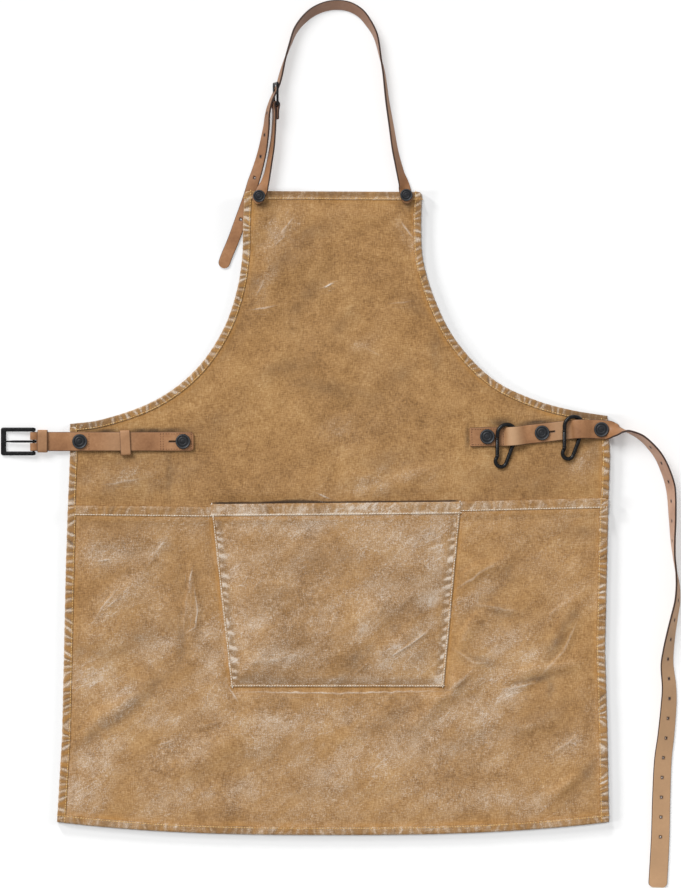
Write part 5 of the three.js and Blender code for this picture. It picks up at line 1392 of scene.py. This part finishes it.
def straps():
    """The four straps with their punched holes, button slits, tongue slots and sewn rows. The neck strap's
    hole at the buckle is part of the slot that the tongue passes."""
    neck_long, neck_short = neck_long_route(), neck_short_route()
    waist_left, waist_right = waist_left_route(), waist_right_route()
    tongue_slot = lambda s, reach, buckle: (s - reach, s + reach, buckle["tongue"] + TONGUE_PLAY)
    round_end = NECK_WIDTH / 2
    thread_row = neck_long.row_s[len(NECK_LONG_START) + 2]
    last = neck_long.length - NECK_HOLE_FROM_TIP
    pitch = (last - thread_row) / (NECK_HOLES - 1)
    holes = last - pitch * np.arange(NECK_HOLES - 1)
    slot = tongue_slot(thread_row, THREAD_SLOT_REACH, NECK_BUCKLE)
    strap("long_neck_strap", "neck_strap_long", neck_long, round_end, round_end, holes, pitch, slots=[slot],
          dull=0.8)
    slot = tongue_slot(neck_short.row_s[len(NECK_SHORT_START) + 4], SLOT_REACH, NECK_BUCKLE)
    strap("short_neck_strap", "neck_strap_short", neck_short, round_end, 2, slots=[slot])
    slot = tongue_slot(waist_left.row_s[len(WAIST_LEFT_TOP) + 2], SLOT_REACH, WAIST_BUCKLE)
    inner = waist_left.nearest(*BUTTONS["waist_left_inner"][:2])
    # A painted highlight on the left strap, between its outer button and the loose keeper.
    highlight_at = waist_left.nearest(-285, WAIST_BAR[1])
    strap("left_waist_strap", "waist_strap_left", waist_left, 4, 2, slits=[(inner, inner + 18)], slots=[slot],
          pale=lambda s: 0.35 * bell(s - highlight_at, 20))
    holes = waist_right.length - WAIST_HOLE_FROM_TIP - WAIST_HOLE_PITCH * np.arange(WAIST_HOLES)
    middle = waist_right.nearest(*BUTTONS["waist_right_middle"][:2])
    # The right strap's pale mark is paler leather low down, and its two bells are painted highlights near the
    # hooks.
    strap("right_waist_strap", "waist_strap_right", waist_right, 1.5, 6, holes, WAIST_HOLE_PITCH,
          slits=[(middle, middle + 16)],
          pale=lambda s: smoothstep(s, 330, 560) + bell(s - 57, 10) + 0.6 * bell(s - 118, 14))
    for k, x in enumerate(LEFT_SEWING_X):
        cross_stitches(f"left_strap_sewing_{k + 1}", waist_left, waist_left.nearest(x, WAIST_BAR[1]), 401 + k)
    cross_stitches("left_strap_end_sewing", waist_left, CROSS_INSET, 411)
    for k, side in enumerate((-1, 1)):
        edge_stitches(f"left_strap_edge_sewing_{k + 1}", waist_left, 4, 38, side, 413 + k)
        edge_stitches(f"right_strap_edge_sewing_{k + 1}", waist_right, 4, 40, side, 415 + k)
    cross_stitches("right_strap_end_sewing", waist_right, CROSS_INSET, 417)
    cross_stitches("right_strap_sewing", waist_right, waist_right.nearest(207.2, 9.4), 418)


def keepers():
    """Flat leather loops: a rounded oblong path round the strap, with a thin rounded band carried along
    it."""
    for name, (x, y, width, across, low, high, turn) in KEEPERS.items():
        path = oval_profile(across - KEEPER_WALL, high - low - KEEPER_WALL, 0.28, 120)
        path = respaced(np.vstack([path, path[:1]]), 0.8)[:-1]
        out = right_of(unit(np.roll(path, -1, 0) - np.roll(path, 1, 0)))
        band = oval_profile(width, KEEPER_WALL, 0.35, 24)
        yz = path[:, None] + out[:, None] * band[None, :, 1:]
        local = np.stack([np.broadcast_to(band[None, :, 0], yz.shape[:2]), yz[..., 0], yz[..., 1]], -1)
        c, s = np.cos(np.radians(turn)), np.sin(np.radians(turn))
        grid = placed(local, (x, y, (low + high) / 2), [(c, s, 0), (-s, c, 0), (0, 0, 1)])
        from_edge = width / 2 - np.abs(band[:, 0])
        edge = np.broadcast_to(1 - smoothstep(from_edge, 0.25, 0.9), grid.shape[:2])
        flesh = np.broadcast_to(np.where(band[:, 1] < 0, 1.0, 0.0), grid.shape[:2])
        marks = {"edge": 0.75 * edge, "flesh": flesh, "pale": 0.25 + 0 * edge, "dull": 0 * edge}
        add_grid(name + "_band", grid, LEATHER_FINISH, marks, nodes=[name], closed=True)


# Metal


def buttons():
    """Tack buttons: a profile of rings turned round its axis, with a shank and a flat tack below the
    cloth."""
    rings = np.array([
        (0.0, 2.35), (0.16, 2.36), (0.30, 2.30), (0.34, 2.05), (0.38, 2.30), (0.44, 2.42), (0.56, 2.42),
        (0.61, 2.28), (0.64, 1.98), (0.70, 1.95), (0.74, 2.3), (0.80, 2.78), (0.86, 2.98), (0.91, 2.96),
        (0.96, 2.66), (0.99, 2.1), (1.0, 1.4), (0.985, 0.6), (0.95, 0.15), (0.88, 0.0),
    ])
    ridge_by_ring = np.clip((rings[:, 1] - 2.3) / 0.6, 0, 1)
    angle = np.linspace(0, 2 * np.pi, 64, endpoint=False)
    for name, (x, y, cap) in BUTTONS.items():
        low, high = (corner.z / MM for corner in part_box("button_" + name))
        under = high - CAP_HEIGHT
        shank = [(SHANK_RADIUS, under), (SHANK_RADIUS, low + 0.7)]
        shank += [(TACK_RADIUS, low + 0.6), (TACK_RADIUS, low)]
        profile = np.vstack([rings * [cap, 1] + [0, under], shank, [(0, low)]])
        ridge = np.concatenate([ridge_by_ring, np.zeros(len(shank) + 1)])
        r, z = profile[:, :1], profile[:, 1:]
        grid = np.stack([x + r * np.cos(angle), y + r * np.sin(angle), z + 0 * angle], -1)
        marks = {"ridge": np.repeat(ridge, len(angle))}
        add_grid(name + "_button", grid, BUTTON_FINISH, marks, nodes=["button_" + name])


def buckle_frame(name, node, body, sizes, origin, basis):
    """A bent frame: a rounded oblong section between the frame's inner and outer outlines, carried from one
    heel round the front to the other, and a round bar between the heels."""
    half, window = sizes["width"] / 2, sizes["width"] / 2 - sizes["side"]
    reach, heel, corner = sizes["reach"], sizes["heel"], sizes["corner"]
    quarter = np.linspace(0, np.pi / 2, 10)
    def outline(far, wide, radius):
        upper = np.linspace(heel, -far + radius, 24)[:-1]
        rail = np.stack([upper, np.full(len(upper), wide)], 1)
        bend = np.stack([-far + radius - radius * np.sin(quarter),
                         wide - radius + radius * np.cos(quarter)], 1)
        front = np.linspace(wide - radius, 0, 14)[1:]
        half_way = np.vstack([rail, bend, np.stack([np.full(len(front), -far), front], 1)])
        return np.vstack([half_way, half_way[-2::-1] * [1, -1]])
    outer = outline(reach, half, corner)
    inner = outline(reach - sizes["front"], window, 0.6)
    section = oval_profile(2, sizes["thick"], 0.42, 28)
    share = (section[None, :, :1] + 1) / 2
    flat = inner[:, None] * (1 - share) + outer[:, None] * share
    ends = np.clip(np.minimum(np.arange(len(outer)), np.arange(len(outer))[::-1]), 0, 2)
    shrink = np.array([0.55, 0.9, 1.0])[ends][:, None]
    middle = (inner + outer)[:, None] / 2
    flat = middle + (flat - middle) * shrink[..., None]
    local = np.concatenate([flat, (section[None, :, 1] * shrink)[..., None]], -1)
    grid = drawn_in(local)
    points, faces = [grid.reshape(-1, 3)], [carried(*grid.shape[:2])]
    angle = np.linspace(0, 2 * np.pi, 20, endpoint=False)
    length = np.linspace(-window - 1.5, window + 1.5, 12)
    ring = BAR_RADIUS * np.cos(angle), length[:, None], BAR_RADIUS * np.sin(angle)
    bar = drawn_in(np.stack(np.broadcast_arrays(*ring), -1))
    points.append(bar.reshape(-1, 3))
    faces.append(carried(*bar.shape[:2]) + grid.shape[0] * grid.shape[1])
    world = placed(np.concatenate(points), origin, basis)
    return add_piece(name, world, np.concatenate(faces), BLACK_FINISH, body=body, nodes=[node], weld=True)


def buckle_tongue(name, node, body, sizes, origin, basis):
    """A tongue: a rounded oblong section carried round the bar and out along the pin to the front rail."""
    radius = BAR_RADIUS + GAP + TONGUE_THICK / 2
    turn = np.radians(np.linspace(-150, 150, 40))
    eye = np.stack([radius * np.cos(turn), radius * np.sin(turn)], 1)
    rest = sizes["thick"] / 2 + GAP + TONGUE_THICK / 2
    pin = straight(eye[-1] - [1, -0.25], [-sizes["tip"] + 0.3, rest], 60)
    line = respaced(smooth_curve(np.vstack([eye, pin[::6], pin[-1:]]), 8), 0.5)
    out = right_of(directions(line))
    s = lengths_along(line)
    taper = 1 - 0.35 * smoothstep(s, s[-1] - 14, s[-1])
    tip = np.sqrt(np.clip(1 - (1 - np.clip((s[-1] - s) / 1.2, 0, 1)) ** 2, 0.02, 1))
    root = np.sqrt(np.clip(1 - (1 - np.clip(s / 0.8, 0, 1)) ** 2, 0.02, 1))
    size = (taper * tip * root)[:, None]
    section = oval_profile(sizes["tongue"], TONGUE_THICK, 0.6, 20)
    flat = line[:, None] + out[:, None] * (section[None, :, 1] * size)[..., None]
    local = np.stack([flat[..., 0], section[None, :, 0] * size, flat[..., 1]], -1)
    return add_grid(name, drawn_in(placed(local, origin, basis)), BLACK_FINISH, body=body, nodes=[node])


def buckles():
    """The open waist buckle, which drops to the table, and the fastened neck buckle, which stands on its
    edge."""
    c, s = np.cos(np.radians(-WAIST_DROP)), np.sin(np.radians(-WAIST_DROP))
    dropped = [(c, 0, -s), (0, 1, 0), (s, 0, c)]
    buckle_frame("waist_frame", "waist_buckle_frame", "waist_frame", WAIST_BUCKLE, WAIST_BAR, dropped)
    buckle_tongue("waist_pin", "waist_buckle_tongue", "waist_tongue", WAIST_BUCKLE, WAIST_BAR, dropped)
    standing = [(0, -1, 0), NECK_SIDE, NECK_FRONT]
    buckle_frame("neck_frame", "neck_buckle_frame", "apron", NECK_BUCKLE, NECK_BAR, standing)
    buckle_tongue("neck_pin", "neck_buckle_tongue", "apron", NECK_BUCKLE, NECK_BAR, standing)


def arc(x, y, radius, first, last, count):
    """Places round part of a circle, between two angles in degrees."""
    angle = np.radians(np.linspace(first, last, count))
    return np.stack([x + radius * np.cos(angle), y + radius * np.sin(angle)], 1)


def hook_body(name, node, origin, basis):
    """A snap hook's round wire: round the small eye from the hinge, up the back and over the big bow to the
    nose. Its first end is hollowed round the gate's ball, and its nose is flat above the gate's tip."""
    slope = np.degrees(np.arctan2(HOOK_BIG_X + HOOK_BIG - HOOK_SMALL, HOOK_BIG_Y))
    eye = arc(0, 0, HOOK_SMALL, 152, 360 - slope, 20)
    bow = arc(HOOK_BIG_X, HOOK_BIG_Y, HOOK_BIG, -slope, 180, 24)
    nose = [(HOOK_BIG_X - HOOK_BIG, GATE_NOSE + GAP)]
    line = respaced(smooth_curve(np.vstack([eye, bow, nose]), 12), 0.7)
    along = directions(line)
    out = right_of(along)
    s = lengths_along(line)
    size = (1 - 0.14 * np.exp(-((s[-1] - s) / 0.3)))[:, None]
    angle = np.linspace(0, 2 * np.pi, 24, endpoint=False)
    flat = line[:, None] + out[:, None] * (WIRE * size * np.cos(angle))[..., None]
    local = np.concatenate([flat, (WIRE * size * np.sin(angle))[..., None]], -1)
    local = np.concatenate([hollowed(local[0], line[0], -along[0])[::-1], local])
    grid = placed(local, origin, basis)
    grid = np.concatenate([grid, np.broadcast_to(grid[-1].mean(0), grid[-1:].shape)])
    return add_grid(name, grid, BLACK_FINISH, nodes=[node])


def hollowed(ring, middle, towards):
    """Rings from a wire's end ring on to a hollow round the gate's ball, the last one drawn to its middle.
    Each place runs on along the wire until it meets the hollow, or to the ball's equator where it passes it
    by."""
    ball = np.array([GATE_X, GATE_FOOT, 0])
    ahead = np.array([*towards, 0])
    reach = WIRE + GAP
    shares = np.array([1.0, 0.66, 0.33, 0.0])[:, None, None]
    centre = np.array([*middle, 0])
    places = centre + (ring - centre) * shares
    offset = ball - places
    forward = offset @ ahead
    beside = (offset ** 2).sum(-1) - forward ** 2
    run = np.where(beside < reach ** 2, forward - np.sqrt(np.clip(reach ** 2 - beside, 0, None)), forward)
    return places + np.clip(run, 0, None)[..., None] * ahead


def hook_gate(name, node, body, origin, basis):
    """A snap hook's straight gate: a turned bar on a ball foot, with a ring above the foot and one at its
    tip."""
    length = GATE_NOSE - GATE_FOOT
    foot = arc(0, 0, WIRE, -90, 0, 10)
    rings = [(1, 1.2), (0.92, 1.4), (0.92, 1.7), (1.03, 1.9), (1.03, 2.5), (1, 2.7)]
    below_tip = [(1, 2.9), (0.93, 2.7), (0.93, 2.4), (1, 2.2), (1, 0.3)]
    turned = [(r * WIRE, y) for r, y in rings + [(r, length - y) for r, y in below_tip]]
    profile = np.vstack([foot, turned, [(WIRE - 0.3, length), (0, length)]])
    angle = np.linspace(0, 2 * np.pi, 24, endpoint=False)
    r, y = profile[:, :1], profile[:, 1:]
    local = np.stack([GATE_X + r * np.cos(angle), GATE_FOOT + y + 0 * angle, r * np.sin(angle)], -1)
    return add_grid(name, placed(local, origin, basis), BLACK_FINISH, body=body, nodes=[node])


def hooks():
    """Two snap hooks, leaned so that their backs pass under the strap and their gates over it, with their
    eyes on the cloth."""
    a, b = np.radians(HOOK_LEAN_ALONG), np.radians(HOOK_LEAN_ACROSS)
    about_x = np.array([(1, 0, 0), (0, np.cos(a), -np.sin(a)), (0, np.sin(a), np.cos(a))])
    about_y = np.array([(np.cos(b), 0, np.sin(b)), (0, 1, 0), (-np.sin(b), 0, np.cos(b))])
    basis = (about_x @ about_y).T
    for number, origin in HOOKS.items():
        hook_body(f"snap_hook_{number}", f"carabiner_{number}_body", origin, basis)
        hook_gate(f"snap_gate_{number}", f"carabiner_{number}_gate", f"gate_{number}", origin, basis)


# Camera, floor and light. Heights and reaches are in metres.

PHOTO_ROWS = 888
MM_PER_PIXEL = 1.27
CAMERA_HEIGHT = 6.0
SENSOR = 36
FLOOR_REACH = 40.0
FLOOR_DROP = 0.0003
FLOOR_SHADE = 0.6
SKY = 0.5

# Lamps: name, strength, softness, elevation and azimuth in degrees. The floor lamps reach the floor alone,
# and each is named for the side on which its shadow falls.
LAMPS = [
    ("key", 2.3, 30, 43, 128), ("floor_below", 5.8, 4, 7.5, 110), ("floor_lower_right", 4.8, 4, 7.5, 150),
    ("floor_right", 3.9, 5, 7.5, 185), ("floor_left", 2.2, 9, 10, 20),
]


def collected(name, pieces):
    """A collection of pieces that a lamp is linked to."""
    made = bpy.data.collections.new(name)
    for piece in pieces:
        made.objects.link(piece)
    return made


def stage(cloth):
    """A pale floor under a straight-down camera, with soft light from the upper left, an even white sky,
    and low lamps that draw the cloth's soft shadow on the floor."""
    camera = shown("camera", bpy.data.cameras.new("camera"))
    camera.data.sensor_width = SENSOR
    camera.data.lens = SENSOR * CAMERA_HEIGHT / (PHOTO_ROWS * MM_PER_PIXEL * MM)
    camera.location = (0, 0, CAMERA_HEIGHT)
    bpy.context.scene.camera = camera
    floor_mesh = bpy.data.meshes.new("table_top")
    corners = [(FLOOR_REACH * x, FLOOR_REACH * y, 0) for x, y in ((-1, -1), (1, -1), (1, 1), (-1, 1))]
    floor_mesh.from_pydata(corners, [], [(0, 1, 2, 3)])
    grey = (FLOOR_SHADE, FLOOR_SHADE, FLOOR_SHADE, 1)
    table = Finish("pale_table", roughness=0.9, base_color=grey, specular_ior_level=0.0)
    floor_mesh.materials.append(table.material)
    floor = shown("table_top", floor_mesh)
    floor.location.z = -FLOOR_DROP
    only_floor = collected("floor_alone", [floor])
    cloth_alone = collected("cloth_alone", cloth)
    for name, strength, soft, elevation, azimuth in LAMPS:
        light = bpy.data.lights.new(name, "SUN")
        light.energy = strength
        light.angle = np.radians(soft)
        lamp = shown(name, light)
        lamp.rotation_euler = (0, np.radians(90 - elevation), np.radians(azimuth))
        if name.startswith("floor"):
            lamp.light_linking.receiver_collection = only_floor
            lamp.light_linking.blocker_collection = cloth_alone
    world = bpy.data.worlds.new("white_sky")
    world.use_nodes = True
    sky = world.node_tree.nodes["Background"].inputs
    sky["Color"].default_value = (1, 1, 1, 1)
    sky["Strength"].default_value = SKY
    bpy.context.scene.world = world
    bpy.context.scene.view_settings.view_transform = "Standard"


bib, bib_edges = bib_cloth(), bib_hems()
skirt, skirt_edges = skirt_cloth(), skirt_hems()
pocket, pocket_edges = pocket_cloth(), pocket_hems()
stage([bib, *bib_edges, skirt, *skirt_edges])
straps()
keepers()
buttons()
buckles()
hooks()
